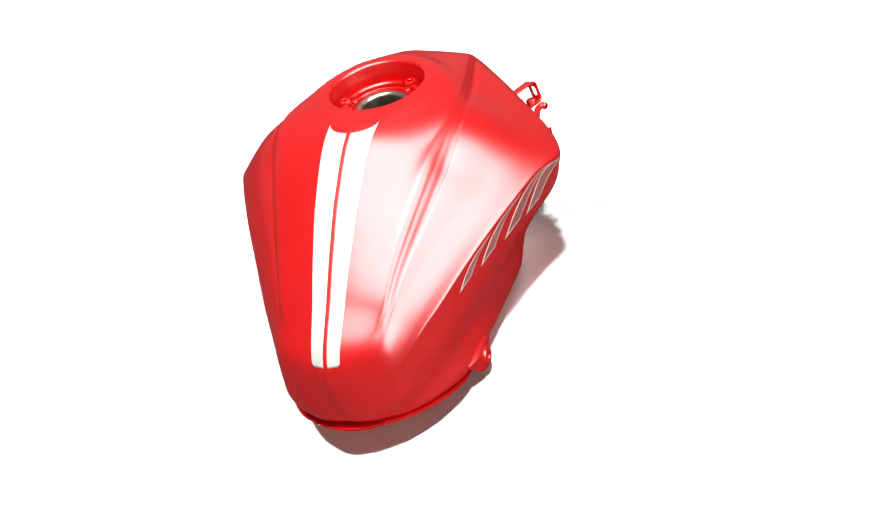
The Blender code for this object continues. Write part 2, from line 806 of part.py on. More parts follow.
def build_clip(name, side):
    point, normal = front_wall(NIPPLE_X + CLIP_FROM_NIPPLE, CLIP_Z)
    level = normal.cross(Vector((0, 0, 1))).normalized()
    upward = level.cross(-normal)
    stand = Matrix((level, upward, normal)).transposed().to_4x4()
    place = Matrix.Diagonal((side, 1, 1, 1)) @ Matrix.Translation(point) @ stand
    half = CLIP_WIDTH / 2
    tab = box("clip_tab_" + name, RED_PAINT, (-half, -half, -ROOT_DEPTH), (half, half, CLIP_RISE))
    hole = cylinder("clip_hole_" + name, None, CLIP_HOLE, (0, 0, -CLIP_WIDTH), (0, 0, CLIP_WIDTH), 16)
    for piece in (tab, hole):
        piece.data.transform(place)
        if side < 0:
            piece.data.flip_normals()
    boolean(tab, shell_room("clip_room_" + name, side, 2 * ROOT_DEPTH), "DIFFERENCE")
    boolean(tab, hole, "DIFFERENCE")


def build_rear_lug():
    y = FILLER_Y + LUG_Y
    half = LUG_WIDTH / 2
    lug = cylinder("rear_lug", RED_PAINT, LUG_EYE_RADIUS, (-half, y, LUG_EYE_Z), (half, y, LUG_EYE_Z), 32)
    foot_half = LUG_FOOT / 2
    foot = box(
        "lug_foot",
        None,
        (-half, y - foot_half, LUG_EYE_Z + LUG_EYE_RADIUS / 2),
        (half, y + foot_half, pan_z(0, y) + ROOT_DEPTH),
    )
    boolean(lug, foot, "UNION")
    under_pan(lug)
    eye = cylinder("lug_eye", None, BUSH_RADIUS + GAP, (-2 * half, y, LUG_EYE_Z), (2 * half, y, LUG_EYE_Z), 32)
    boolean(lug, eye, "DIFFERENCE")
    turn = Matrix.Rotation(math.radians(90), 4, "Y")
    reach = half + BUSH_PROUD
    for name, finish_of, inner, outer in (
        ("rear_bush", BLACK_RUBBER, SLEEVE_RADIUS + GAP, BUSH_RADIUS),
        ("rear_sleeve", ZINC_STEEL, SLEEVE_BORE, SLEEVE_RADIUS),
    ):
        item = ring(name, finish_of, inner, outer, -reach, reach, (0, y, LUG_EYE_Z), 24)
        item.rotation_euler = turn.to_euler()


def build_baffle():
    y = FILLER_Y + BAFFLE_Y
    half = BAFFLE_WIDTH / 2
    base = roof_z(y) + GAP
    plate = box(
        "baffle",
        ZINC_STEEL,
        (-half, y - BAFFLE_THICKNESS / 2, base - BAFFLE_FOOT),
        (half, y + BAFFLE_THICKNESS / 2, base + BAFFLE_HEIGHT),
    )
    room = made("baffle_room", pan_half_mesh(), None)
    mirrored(room)
    depth = 2 * BAFFLE_FOOT
    thicken(room, depth, 4 * GAP / depth - 1, even=False)
    boolean(plate, room, "DIFFERENCE")
    for i in (-1, 1):
        hole = cylinder(
            f"baffle_hole_{i + 1}",
            None,
            BAFFLE_HOLE,
            (i * half / 2, y - BAFFLE_FOOT, base + BAFFLE_HEIGHT / 2),
            (i * half / 2, y + BAFFLE_FOOT, base + BAFFLE_HEIGHT / 2),
            20,
        )
        boolean(plate, hole, "DIFFERENCE")


def build_sender(pan):
    y = FILLER_Y + SENDER_Y
    seat = roof_z(y)
    ring_low = seat - SENDER_RING_HEIGHT / 2
    pan_hole(pan, "sender_hole", SENDER_RADIUS + GAP, 0, y, seat, SENDER_RING_HEIGHT)
    ring(
        "sender_ring", ZINC_STEEL, SENDER_BORE, SENDER_RADIUS, 0, SENDER_RING_HEIGHT, (0, y, ring_low), steps=40
    )
    gasket_high = ring_low - GAP
    gasket_low = gasket_high - SENDER_GASKET
    ring("sender_gasket", BLACK_RUBBER, SENDER_BORE, SENDER_RADIUS, 0, SENDER_GASKET, (0, y, gasket_low))
    flange_high = gasket_low - GAP
    flange_low = flange_high - SENDER_FLANGE_THICKNESS
    body = cylinder(
        "sender_body", ZINC_STEEL, SENDER_RADIUS, (0, y, flange_low), (0, y, flange_high), segments=40
    )
    half = SENDER_POST_WIDTH / 2
    post_top = seat + SENDER_RING_HEIGHT / 2 + SENDER_POST_HEIGHT
    post = box(
        "sender_post",
        None,
        (-half, y - half, flange_high - SENDER_FLANGE_THICKNESS / 2),
        (half, y + half, post_top),
    )
    boolean(body, post, "UNION")
    for i in range(SENDER_SCREWS):
        angle = math.tau * (i + 0.5) / SENDER_SCREWS
        x = SENDER_SCREW_CIRCLE * math.cos(angle)
        at = y + SENDER_SCREW_CIRCLE * math.sin(angle)
        head_high = flange_low - GAP
        cylinder(
            f"sender_screw_{i + 1}",
            ZINC_STEEL,
            SCREW_HEAD_RADIUS,
            (x, at, head_high - SCREW_HEAD_HEIGHT),
            (x, at, head_high),
            12,
        )
    build_float(y - half - GAP, post_top - PIVOT_BELOW_TOP)


def build_float(pivot_y, pivot_z):
    """Float arm on the rear face of the sender's post, on its lower stop; its origin is on the hub's axis."""
    hub_length = 4 * FLOAT_ARM_RADIUS
    hub = cylinder("float_arm", ZINC_STEEL, PIVOT_RADIUS, (0, -hub_length, 0), (0, 0, 0), 20)
    middle = -hub_length / 2
    arm = cylinder("arm_wire", None, FLOAT_ARM_RADIUS, (0, middle, 0), (-FLOAT_ARM_REACH, middle, 0), 12)
    boolean(hub, arm, "UNION")
    half = FLOAT_LENGTH / 2
    floating = cylinder(
        "float_block",
        None,
        FLOAT_RADIUS,
        (-FLOAT_ARM_REACH, middle - half, 0),
        (-FLOAT_ARM_REACH, middle + half, 0),
        24,
    )
    boolean(hub, floating, "UNION")
    for piece in (hub, arm, floating):
        piece.location = (0, pivot_y, pivot_z)
        piece.rotation_euler = (0, FLOAT_LOW, 0)


def build_tap(pan):
    x = TAP_X
    y = FILLER_Y + TAP_Y
    seat = pan_z(x, y)
    boss_low = seat - TAP_BOSS_HEIGHT / 2
    pan_hole(pan, "tap_hole", TAP_BOSS_RADIUS + GAP, x, y, seat, TAP_BOSS_HEIGHT)
    ring("tap_boss", ZINC_STEEL, TAP_BORE, TAP_BOSS_RADIUS, 0, TAP_BOSS_HEIGHT, (x, y, boss_low), steps=32)
    gasket_low = boss_low - GAP - TAP_GASKET
    ring("tap_gasket", BLACK_RUBBER, TAP_BORE, TAP_BOSS_RADIUS, 0, TAP_GASKET, (x, y, gasket_low), steps=32)
    flange_high = gasket_low - GAP
    flange_low = flange_high - TAP_FLANGE_THICKNESS
    body_low = flange_low - TAP_BODY_HEIGHT
    body = cylinder("tap_body", CAST_ALLOY, TAP_BOSS_RADIUS, (x, y, flange_low), (x, y, flange_high), 32)
    barrel = cylinder(
        "tap_barrel", None, TAP_BODY_RADIUS, (x, y, body_low), (x, y, flange_low + TAP_FLANGE_THICKNESS / 2), 32
    )
    boolean(body, barrel, "UNION")
    spigot_z = (body_low + flange_low) / 2
    spigot_end = x + TAP_BODY_RADIUS + TAP_SPIGOT_LENGTH
    spigot = cylinder("tap_spigot", None, TAP_SPIGOT_RADIUS, (x, y, spigot_z), (spigot_end, y, spigot_z), 16)
    boolean(body, spigot, "UNION")
    way = cylinder("tap_way", None, TAP_SPIGOT_BORE, (x, y, spigot_z), (spigot_end + LIP, y, spigot_z), 12)
    boolean(body, way, "DIFFERENCE")
    inlet = cylinder("tap_inlet", None, TAP_SPIGOT_BORE, (x, y, spigot_z), (x, y, flange_high + LIP), 12)
    boolean(body, inlet, "DIFFERENCE")
    strainer_low = flange_high + GAP
    ring(
        "tap_strainer", BLACK_PLASTIC, STRAINER_BORE, STRAINER_RADIUS, 0, STRAINER_LENGTH, (x, y, strainer_low), 16
    )
    build_lever(x, y, body_low - GAP)


def build_lever(x, y, top):
    """Lever that turns under the tap; its origin is on the tap's axis."""
    lever = cylinder("tap_lever", BLACK_PLASTIC, LEVER_RADIUS, (0, 0, -LEVER_THICKNESS), (0, 0, 0), 28)
    half = LEVER_WIDTH / 2
    handle = box("lever_handle", None, (-half, -LEVER_LENGTH, -LEVER_THICKNESS), (half, 0, 0))
    for piece in (lever, handle):
        piece.location = (x, y, top)
    boolean(lever, handle, "UNION")


def build_tank():
    pressed_half("left_shell", -1)
    right = pressed_half("right_shell", 1)
    pan = build_pan()
    drain_y, drain_outer = build_filler()
    pan_hole(pan, "drain_hole", drain_outer + GAP, 0, drain_y, roof_z(drain_y), 4 * LIP)
    for name, side in (("left", -1), ("right", 1)):
        build_ear(name, side)
        build_clip(name, side)
    build_bracket()
    build_nipple(right)
    build_rear_lug()
    build_baffle()
    build_sender(pan)
    build_tap(pan)


build_tank()
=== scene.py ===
import json
import math

import bmesh
import bpy
from mathutils import Matrix, Vector

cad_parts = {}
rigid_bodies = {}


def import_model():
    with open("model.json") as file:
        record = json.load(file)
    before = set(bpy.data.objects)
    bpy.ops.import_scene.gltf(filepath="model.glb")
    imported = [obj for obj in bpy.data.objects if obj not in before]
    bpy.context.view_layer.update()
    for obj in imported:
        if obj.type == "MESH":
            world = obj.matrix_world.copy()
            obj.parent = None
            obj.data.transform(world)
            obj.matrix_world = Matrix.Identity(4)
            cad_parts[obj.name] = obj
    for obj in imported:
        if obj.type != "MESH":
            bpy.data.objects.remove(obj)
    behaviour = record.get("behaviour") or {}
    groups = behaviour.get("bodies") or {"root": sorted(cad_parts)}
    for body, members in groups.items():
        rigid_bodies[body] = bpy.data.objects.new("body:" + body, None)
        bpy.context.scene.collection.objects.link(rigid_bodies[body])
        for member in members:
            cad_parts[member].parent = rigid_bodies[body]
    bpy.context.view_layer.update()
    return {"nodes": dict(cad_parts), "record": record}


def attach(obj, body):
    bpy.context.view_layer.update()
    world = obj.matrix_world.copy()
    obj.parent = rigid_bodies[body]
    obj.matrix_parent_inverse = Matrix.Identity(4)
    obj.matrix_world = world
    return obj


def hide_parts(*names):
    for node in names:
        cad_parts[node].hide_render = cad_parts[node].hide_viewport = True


for leftover in list(bpy.data.objects):
    bpy.data.objects.remove(leftover)
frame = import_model()


# Tank skin: two deep-drawn steel halves, welded along the spine and dressed smooth, so no seam shows.
# The form runs from the rear flange over the spine to the front flange, and the whole is sprayed red.
MM_PER_M = 1000
FILLER_Y = 0.0772
MOUTH_Z = 0.265
MOUTH_RADIUS = 0.052
COLLAR_FROM_Z = 0.237
COLLAR_FLAT = 0.004
COLLAR_REACH = 0.032
SKIN_HOLE = 0.0552
SPINE_LINE = (
    (0, -284, 43), (0, -292, 66), (0, -290, 122), (0, -243, 167), (0, -205, 200), (0, -162, 232),
    (0, -100, 263), (0, -25, 266), (0, 55, 264), (0, 124, 239), (0, 137, 205), (0, 133, 90),
)
GROOVE_LINE = (
    (22, -284, 43), (28, -290, 66), (46, -276, 121), (58, -244, 147), (67, -208, 171), (79, -167, 193),
    (94, -110, 221), (104, -48, 247), (92, 35, 233), (74, 122, 222), (74, 134, 190), (40, 131, 84),
)
CREASE_LINE = (
    (32, -281, 43), (57, -277, 70), (64, -267, 93), (79, -237, 116), (96, -205, 130), (118, -159, 148),
    (144, -106, 165), (170, -48, 176), (187, -6, 172), (173, 25, 176), (166, 37, 136), (66, 120, 46),
)
FLANGE_LINE = (
    (36, -280, 43), (55, -266, 40), (74, -239, 34), (91, -200, 27), (94, -165, 23), (93, -120, 14),
    (92, -70, 9), (92, -15, 7), (92, 30, 7), (88, 75, 7), (84, 95, 7), (80, 105, 8),
)
SPINE_CROWN = ((0.22, 0.06), (0.56, 0.25), (0.87, 0.50), (0.955, 0.78))
SHOULDER_CROWN = ((0.10, 0.05), (0.40, 0.27), (0.74, 0.63), (0.95, 0.93))
SIDE_FORM = ((0.06, 0.012, 0), (0.30, 0.05, 0), (0.62, -0.02, 0.05), (0.90, 0, 0.08))
STATIONS = len(SPINE_LINE) - 1
STEPS = ((0.0, 0.6, 16), (0.6, 10.4, 116), (10.4, 11.0, 16))
COLUMN_STEPS = (
    (0, 3, 16), (3, 6, 28), (6, 8, 14), (8, 11, 26), (11, 13, 18), (13, 14, 8), (14, 14.6, 8), (14.6, 15, 8),
)
CREASE_EASE = ((9, 0.5), (10, 0.9), (11, 0.6))
EASE_FRONT = 7.0
EASE_REAR = 2.4
EASE_OVER = 1.6
REAR_EASE = 0.5
GROOVE_STARTS = 1.7
GROOVE_GROWS = 1.5
REAR_LIP = 0.008
CORNER_LIP = 0.003
SIDE_LIP = 0.006
HIDDEN_LIP = 0.001
QUARTER_RUN = 0.05
HIDDEN_FROM = 0.08
HIDDEN_RUN = 0.07
HEM_DEPTH = 0.006
HEM_HEIGHT = 0.010
SKIN_SHEET = 0.001


def along(points, position):
    """A point on the smooth curve through some points, at a position counted in points."""
    last = len(points) - 1
    i = min(int(position), last - 1)
    t = position - i
    b = points[i]
    c = points[i + 1]
    a = points[i - 1] if i else 2 * b - c
    d = points[i + 2] if i + 2 <= last else 2 * c - b
    return b + t / 2 * (c - a + t * (2 * a - 5 * b + 4 * c - d + t * (3 * (b - c) + d - a)))


def key_point(line, station):
    return along([Vector(p) for p in line], station) / MM_PER_M + Vector((0, FILLER_Y, 0))


def falling(start, end, crown):
    """Points between two others, each with its share of the run and its share of the fall."""
    points = []
    for share, used in crown:
        point = start.lerp(end, share)
        point.z = start.z + (end.z - start.z) * used
        points.append(point)
    return points


def smooth_step(value):
    value = min(1.0, max(0.0, value))
    return value * value * (3 - 2 * value)


def levelled(point):
    """Brings the skin round the filler to the level of the mouth."""
    reach = math.hypot(point.x, point.y - FILLER_Y) - MOUTH_RADIUS
    if point.z > COLLAR_FROM_Z:
        point.z += (MOUTH_Z - point.z) * (1 - smooth_step((reach - COLLAR_FLAT) / COLLAR_REACH))
    return point


def skin_rib(station):
    """The points of the form across a station, from the spine down to the flange."""
    spine = key_point(SPINE_LINE, station)
    groove = key_point(GROOVE_LINE, station)
    crease = key_point(CREASE_LINE, station)
    flange = key_point(FLANGE_LINE, station)
    drop = (flange - crease).length
    front = smooth_step((station - EASE_FRONT) / EASE_OVER)
    side = []
    for share, bulge, swell in SIDE_FORM:
        side.append(crease.lerp(flange, share) + Vector(((bulge + swell * (1 - front)) * drop, 0, 0)))
    crown = falling(spine, groove, SPINE_CROWN)
    shoulder = falling(groove, crease, SHOULDER_CROWN)
    top = [spine, *crown, groove, *shoulder, crease]
    rear = 1 - smooth_step((station - GROOVE_STARTS) / GROOVE_GROWS)
    pull = 2 * groove - (spine + crease) / 2
    for column, point in enumerate(top):
        t = column / (len(top) - 1)
        plain = spine * (1 - t) ** 2 + pull * 2 * t * (1 - t) + crease * t * t
        top[column] = point.lerp(plain, rear)
    return eased([*top, *side, flange], station)


def eased(ribs, station):
    """Rounds the crease off at the rear and at the front corner, by drawing it between its neighbours."""
    front = smooth_step((station - EASE_FRONT) / EASE_OVER)
    rear = REAR_EASE * smooth_step((EASE_REAR - station) / EASE_OVER)
    rounded = list(ribs)
    for column, share in CREASE_EASE:
        middle = (ribs[column - 1] + ribs[column + 1]) / 2
        rounded[column] = ribs[column].lerp(middle, max(front, rear) * share)
    return rounded


def stepped(runs):
    places = [runs[0][0]]
    for start, end, count in runs:
        places += [start + (end - start) * k / count for k in range(1, count + 1)]
    return places


def rim_of(rows):
    return rows[0][:-1] + [row[-1] for row in rows] + rows[-1][-2::-1]


def outward_along(rim):
    ways = []
    for k in range(len(rim)):
        run = rim[min(k + 1, len(rim) - 1)] - rim[max(k - 1, 0)]
        if k in (0, len(rim) - 1):
            run = Vector((run.x, 0, 0))
        ways.append(Vector((run.y, -run.x, 0)).normalized())
    return ways


def hemmed(rows):
    """Turns the sheet in under itself above the flange, so that the body stands proud of a dark gap."""
    rim = rim_of(rows)
    ways = outward_along(rim)
    last = len(rows[0]) - 1
    moved = []
    for i, row in enumerate(rows):
        line = []
        for j, point in enumerate(row):
            near = [
                ((point - rows[i][last]).length, ways[last + i]),
                ((point - rows[0][j]).length, ways[j]),
                ((point - rows[-1][j]).length, ways[len(rim) - 1 - j]),
            ]
            distance, way = min(near, key=lambda pair: pair[0])
            share = max(0.0, 1 - distance / HEM_HEIGHT)
            line.append(point - way * HEM_DEPTH * (1 - math.sqrt(1 - share * share)))
        moved.append(line)
    edge = [point + way * lip_width(point) for point, way in zip(rim, ways)]
    return moved, edge


def lip_width(point):
    """The lip is broad behind and at the rear quarters, and all but hidden under the body along the sides."""
    corner_x = FLANGE_LINE[0][0] / MM_PER_M
    corner_y = FLANGE_LINE[0][1] / MM_PER_M + FILLER_Y
    behind = smooth_step(1 - point.x / corner_x)
    beside = smooth_step((point.y - corner_y) / QUARTER_RUN)
    along_side = smooth_step((point.y - corner_y - HIDDEN_FROM) / HIDDEN_RUN)
    quarter = CORNER_LIP + (SIDE_LIP - CORNER_LIP) * beside + (HIDDEN_LIP - SIDE_LIP) * along_side
    return quarter + (REAR_LIP - quarter) * behind


def across(ribs, column):
    """A point on the form across a station; the other half's neighbour keeps the middle line smooth."""
    beyond = Vector((-ribs[1].x, ribs[1].y, ribs[1].z))
    return levelled(along([beyond, *ribs], column + 1))


def skin_rows():
    rows = []
    for station in stepped(STEPS):
        ribs = skin_rib(station)
        row = [across(ribs, column) for column in stepped(COLUMN_STEPS)]
        row[0].x = 0
        rows.append(row)
    return hemmed(rows)


SKIN, SKIN_EDGE = skin_rows()


def new_piece(name, bm, *materials, smooth=40):
    mesh = bpy.data.meshes.new(name)
    bm.to_mesh(mesh)
    bm.free()
    mesh.shade_smooth()
    if smooth < 180:
        mesh.set_sharp_from_angle(angle=math.radians(smooth))
    for material in materials:
        mesh.materials.append(material)
    piece = bpy.data.objects.new(name, mesh)
    bpy.context.scene.collection.objects.link(piece)
    return piece


def new_material(name, colour, roughness, metallic=0.0):
    material = bpy.data.materials.new(name)
    material.use_nodes = True
    shader = material.node_tree.nodes["Principled BSDF"]
    shader.inputs["Base Color"].default_value = (*colour, 1)
    shader.inputs["Roughness"].default_value = roughness
    shader.inputs["Metallic"].default_value = metallic
    return material, material.node_tree.nodes, material.node_tree.links, shader


def noise(nodes, links, scale, detail):
    """A grain that stays in its place on the piece."""
    place = nodes.new("ShaderNodeTexCoord")
    grain = nodes.new("ShaderNodeTexNoise")
    grain.inputs["Scale"].default_value = scale
    grain.inputs["Detail"].default_value = detail
    links.new(place.outputs["Object"], grain.inputs["Vector"])
    return grain


def clouded(nodes, links, shader, cloud, tones, spread):
    """Lays two tones over a finish in soft clouds."""
    ramp = nodes.new("ShaderNodeValToRGB")
    for stop, tone, position in zip(ramp.color_ramp.elements, tones, spread):
        stop.position = position
        stop.color = (*tone, 1)
    links.new(cloud.outputs["Fac"], ramp.inputs["Fac"])
    links.new(ramp.outputs["Color"], shader.inputs["Base Color"])


def dulled(nodes, links, shader, cloud, least, most):
    """Makes a finish duller in some of its clouds than in others."""
    sheen = nodes.new("ShaderNodeMapRange")
    sheen.inputs["To Min"].default_value = least
    sheen.inputs["To Max"].default_value = most
    links.new(cloud.outputs["Fac"], sheen.inputs["Value"])
    links.new(sheen.outputs["Result"], shader.inputs["Roughness"])


def roughened(nodes, links, shader, grain, strength, distance):
    """Gives a finish the fine relief of a grain."""
    bump = nodes.new("ShaderNodeBump")
    bump.inputs["Strength"].default_value = strength
    bump.inputs["Distance"].default_value = distance
    links.new(grain.outputs["Fac"], bump.inputs["Height"])
    links.new(bump.outputs["Normal"], shader.inputs["Normal"])


def red_paint_material():
    material, nodes, links, shader = new_material("red_paint", (0.64, 0.003, 0.004), 0.28)
    cloud = noise(nodes, links, scale=14.0, detail=5.0)
    clouded(nodes, links, shader, cloud, ((0.66, 0.002, 0.003), (0.73, 0.004, 0.005)), (0.3, 0.7))
    dulled(nodes, links, shader, cloud, least=0.26, most=0.31)
    peel = noise(nodes, links, scale=900.0, detail=2.0)
    roughened(nodes, links, shader, peel, strength=0.03, distance=0.0002)
    return material


RED_PAINT = red_paint_material()


def fill_grid(bm, grid, turned):
    """Faces over a grid of points, which face the other way where they are turned."""
    faces = []
    for here, ahead in zip(grid, grid[1:]):
        for j in range(len(here) - 1):
            corners = (here[j], here[j + 1], ahead[j + 1], ahead[j])
            faces.append(bm.faces.new(corners[::-1] if turned else corners))
    return faces


def sheet_of(rows, rim_edge):
    """Both halves of a sheet from its right half's rows, with the lip that runs round the rim."""
    bm = bmesh.new()
    grids = []
    for side in (1, -1):
        grid = []
        for i, row in enumerate(rows):
            middle = grids[0][i][0] if grids else bm.verts.new(row[0])
            others = [bm.verts.new((side * p.x, p.y, p.z)) for p in row[1:]]
            grid.append([middle, *others])
        grids.append(grid)
        edge = [bm.verts.new((side * p.x, p.y, p.z)) for p in rim_edge]
        fill_grid(bm, grid, side < 0)
        fill_grid(bm, [edge, rim_of(grid)], side < 0)
    bmesh.ops.remove_doubles(bm, verts=bm.verts, dist=1e-6)
    return bm


def drill(bm, radius, depth, segments, place=(0, 0, 0)):
    """A round cutter for a hole."""
    made = bmesh.ops.create_cone(
        bm, cap_ends=True, segments=segments, radius1=radius, radius2=radius, depth=depth
    )
    bmesh.ops.translate(bm, verts=made["verts"], vec=place)


def cut_sheet(piece, thickness, cutter, smooth=50):
    """Gives an open sheet its thickness, where it has one, and cuts the holes."""
    if thickness:
        sheet = piece.modifiers.new("sheet", "SOLIDIFY")
        sheet.thickness = thickness
        sheet.offset = -1
    cut = piece.modifiers.new("cut", "BOOLEAN")
    cut.operation = "DIFFERENCE"
    cut.object = cutter
    graph = bpy.context.evaluated_depsgraph_get()
    mesh = bpy.data.meshes.new_from_object(piece.evaluated_get(graph))
    piece.modifiers.clear()
    piece.data = mesh
    mesh.set_sharp_from_angle(angle=math.radians(smooth))
    bpy.data.objects.remove(cutter)


skin = new_piece("tank_skin", sheet_of(SKIN, SKIN_EDGE), RED_PAINT, smooth=180)
mouth = bmesh.new()
drill(mouth, SKIN_HOLE, depth=0.03, segments=160, place=(0, FILLER_Y, MOUTH_Z))
cut_sheet(skin, SKIN_SHEET, new_piece("mouth_cutter", mouth))
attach(skin, "tank")
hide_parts("left_shell", "right_shell")


# Filler dish: a drawn cup let into the top, rolled over at the mouth and painted with the tank.
# Its mouth is flush with the collar of the skin, and the floor carries the cap's ring and the neck.
DISH_RIM = ((0.0556, 0.26503),)
DISH_ROLL_AT = (0.0545, 0.26203)
DISH_ROLL = (0.003, 0.003)
DISH_WALL = ((0.0512, 0.255), (0.0510, 0.243))
DISH_CORNER_AT = (0.047, 0.2412)
DISH_CORNER = (0.004, 0.004)
DISH_FLOOR = ((0.040, 0.2372), (0.0245, 0.2372))
DISH_OUTSIDE = (
    (0.0245, 0.2362), (0.0475, 0.2362), (0.0519, 0.2405),
    (0.0519, 0.2590), (0.0545, 0.2632), (0.0556, 0.2638),
)


def arc(centre, radii, start, end, steps):
    """Points of (radius, height) along an arc between two angles in degrees."""
    points = []
    for k in range(steps + 1):
        turn = math.radians(start + (end - start) * k / steps)
        points.append((centre[0] + radii[0] * math.cos(turn), centre[1] + radii[1] * math.sin(turn)))
    return points


def join_loops(bm, loops, closed):
    """Joins each loop of points to the next, and the last to the first, or else puts a cap on both ends."""
    pairs = list(zip(loops, loops[1:]))
    if closed:
        pairs.append((loops[-1], loops[0]))
    for here, ahead in pairs:
        for j in range(len(here)):
            k = (j + 1) % len(here)
            bm.faces.new((here[j], here[k], ahead[k], ahead[j]))
    if not closed:
        bm.faces.new(loops[0])
        bm.faces.new(loops[-1][::-1])
    bmesh.ops.recalc_face_normals(bm, faces=bm.faces)


def spun(profile, centre, steps):
    """A closed profile of (radius, height), turned about an upright axis."""
    bm = bmesh.new()
    rings = []
    for i in range(steps):
        turn = math.tau * i / steps
        out = Vector((math.cos(turn), math.sin(turn), 0))
        rings.append([bm.verts.new(Vector(centre) + out * r + Vector((0, 0, z))) for r, z in profile])
    join_loops(bm, rings, closed=True)
    return bm


roll = arc(DISH_ROLL_AT, DISH_ROLL, 90, 180, 8)
corner = arc(DISH_CORNER_AT, DISH_CORNER, 0, -90, 6)[1:]
dish_profile = [*DISH_RIM, *roll, *DISH_WALL, *corner, *DISH_FLOOR, *DISH_OUTSIDE]
dish = new_piece("filler_dish_skin", spun(dish_profile[::-1], (0, FILLER_Y, 0), 128), RED_PAINT, smooth=50)
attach(dish, "tank")
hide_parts("filler_dish")


# Twin stripes: white film laid under the clear coat, one on each side of the spine's middle line.
# They narrow towards the rear, start on an arc round the filler and end with rounded outer corners.
STRIPE_GAP = 0.0020
STRIPE_TOP_HALF = 0.0262
STRIPE_LOW_HALF = 0.0142
STRIPE_TOP_ARC = 0.0285
STRIPE_TOP_Y = -0.097
STRIPE_TOP_STATION = 6.1
STRIPE_TOP_SEARCH = (5.0, 7.0)
STRIPE_LOW_STATION = 1.99
STRIPE_LOW_DROP = 0.06
STRIPE_CORNER = 0.004
STATION_LENGTH = 0.055
FILM = 0.00015
STRIPE_COLUMNS = 16
STRIPE_ROWS = 110
SPINE_COLUMNS = (0.0, 5.5)
HALVINGS = 30


def skin_point(station, column):
    return across(skin_rib(station), column)


def halved(low, high, is_short):
    """The place between two limits up to which a trial falls short, found by halving."""
    for _ in range(HALVINGS):
        middle = (low + high) / 2
        if is_short(middle):
            low = middle
        else:
            high = middle
    return low


def skin_at_x(station, x):
    ribs = skin_rib(station)
    column = halved(*SPINE_COLUMNS, lambda trial: across(ribs, trial).x < x)
    return across(ribs, column)


def stripe_x(share, station):
    run = (station - STRIPE_LOW_STATION) / (STRIPE_TOP_STATION - STRIPE_LOW_STATION)
    half = STRIPE_LOW_HALF + (STRIPE_TOP_HALF - STRIPE_LOW_HALF) * run
    return STRIPE_GAP + (half - STRIPE_GAP) * share


def stripe_top(share):
    """The station at which a line along the stripe meets the arc round the filler."""

    def is_short(station):
        point = skin_at_x(station, stripe_x(share, station))
        return math.hypot(point.x, point.y - FILLER_Y - STRIPE_TOP_Y - STRIPE_TOP_ARC) > STRIPE_TOP_ARC

    return halved(*STRIPE_TOP_SEARCH, is_short)


def stripe_low(share):
    """The station at which it ends, with the outer corner rounded."""
    inset = (1 - share) * (STRIPE_LOW_HALF - STRIPE_GAP)
    level = STRIPE_LOW_STATION - STRIPE_LOW_DROP * share
    if inset > STRIPE_CORNER:
        return level
    rise = STRIPE_CORNER - math.sqrt(max(0.0, STRIPE_CORNER**2 - (STRIPE_CORNER - inset) ** 2))
    return level + rise / STATION_LENGTH


def film_lifted(bm, lift):
    """Raises a film off the paint and closes it underneath."""
    bm.normal_update()
    for vertex, normal in [(v, v.normal.copy()) for v in bm.verts]:
        vertex.co += normal * lift
    bmesh.ops.solidify(bm, geom=bm.faces[:], thickness=lift / 2)
    bmesh.ops.recalc_face_normals(bm, faces=bm.faces)


def stripe_mesh(side):
    bm = bmesh.new()
    grid = []
    for j in range(STRIPE_COLUMNS + 1):
        share = 1 - (1 - j / STRIPE_COLUMNS) ** 2
        top = stripe_top(share)
        low = stripe_low(share)
        line = []
        for i in range(STRIPE_ROWS + 1):
            station = low + (top - low) * i / STRIPE_ROWS
            point = skin_at_x(station, stripe_x(share, station))
            line.append(bm.verts.new((side * point.x, point.y, point.z)))
        grid.append(line)
    fill_grid(bm, list(zip(*grid)), side < 0)
    film_lifted(bm, FILM)
    return bm


def film_material(name, colour, aged_colour):
    material, nodes, links, shader = new_material(name, colour, 0.3)
    cloud = noise(nodes, links, scale=22.0, detail=4.0)
    clouded(nodes, links, shader, cloud, (aged_colour, colour), (0.35, 0.65))
    return material


STRIPE_WHITE = film_material("stripe_white", (0.83, 0.82, 0.78), (0.78, 0.77, 0.70))
for label, side in (("left", -1), ("right", 1)):
    stripe = new_piece("stripe_" + label, stripe_mesh(side), STRIPE_WHITE, smooth=180)
    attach(stripe, "tank")


# Side flashes: four slanted bars of cream film with a rose field, laid on each knee panel under the crease.
# They shorten towards the rear and follow the panel's curve. Each is given by its first station, width, first
# column, length and lean; the width and the lean count stations, and the length counts columns.
FLASHES = (
    (4.45, 0.42, 10.55, 0.80, 0.75),
    (5.15, 0.46, 10.45, 1.05, 0.90),
    (5.90, 0.50, 10.40, 1.30, 1.05),
    (6.60, 0.50, 10.40, 1.45, 0.85),
)
FLASH_ACROSS = (0, 0.12, 0.31, 0.5, 0.69, 0.88, 1)
FLASH_EDGE = 0.05
FLASH_ROWS = 12
FLASH_CREAM = film_material("flash_cream", (0.80, 0.72, 0.62), (0.74, 0.66, 0.56))
FLASH_ROSE = film_material("flash_rose", (0.50, 0.16, 0.15), (0.44, 0.12, 0.12))


def flash_mesh(side):
    bm = bmesh.new()
    field = [FLASH_EDGE + (1 - 2 * FLASH_EDGE) * k / FLASH_ROWS for k in range(FLASH_ROWS + 1)]
    down = [0, *field, 1]
    rows = len(down) - 1
    columns = len(FLASH_ACROSS) - 1
    for start, width, top, length, lean in FLASHES:
        grid = []
        for q in down:
            line = []
            for a in FLASH_ACROSS:
                point = skin_point(start + width * a + lean * (1 - q), top + length * q)
                line.append(bm.verts.new((side * point.x, point.y, point.z)))
            grid.append(line)
        for k, face in enumerate(fill_grid(bm, list(zip(*grid)), side < 0)):
            j, i = divmod(k, rows)
            border = i in (0, rows - 1) or j in (0, columns - 1)
            face.material_index = 0 if border else 1
    film_lifted(bm, FILM)
    return bm


for label, side in (("left", -1), ("right", 1)):
    flash = new_piece("flash_" + label, flash_mesh(side), FLASH_CREAM, FLASH_ROSE, smooth=180)
    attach(flash, "tank")


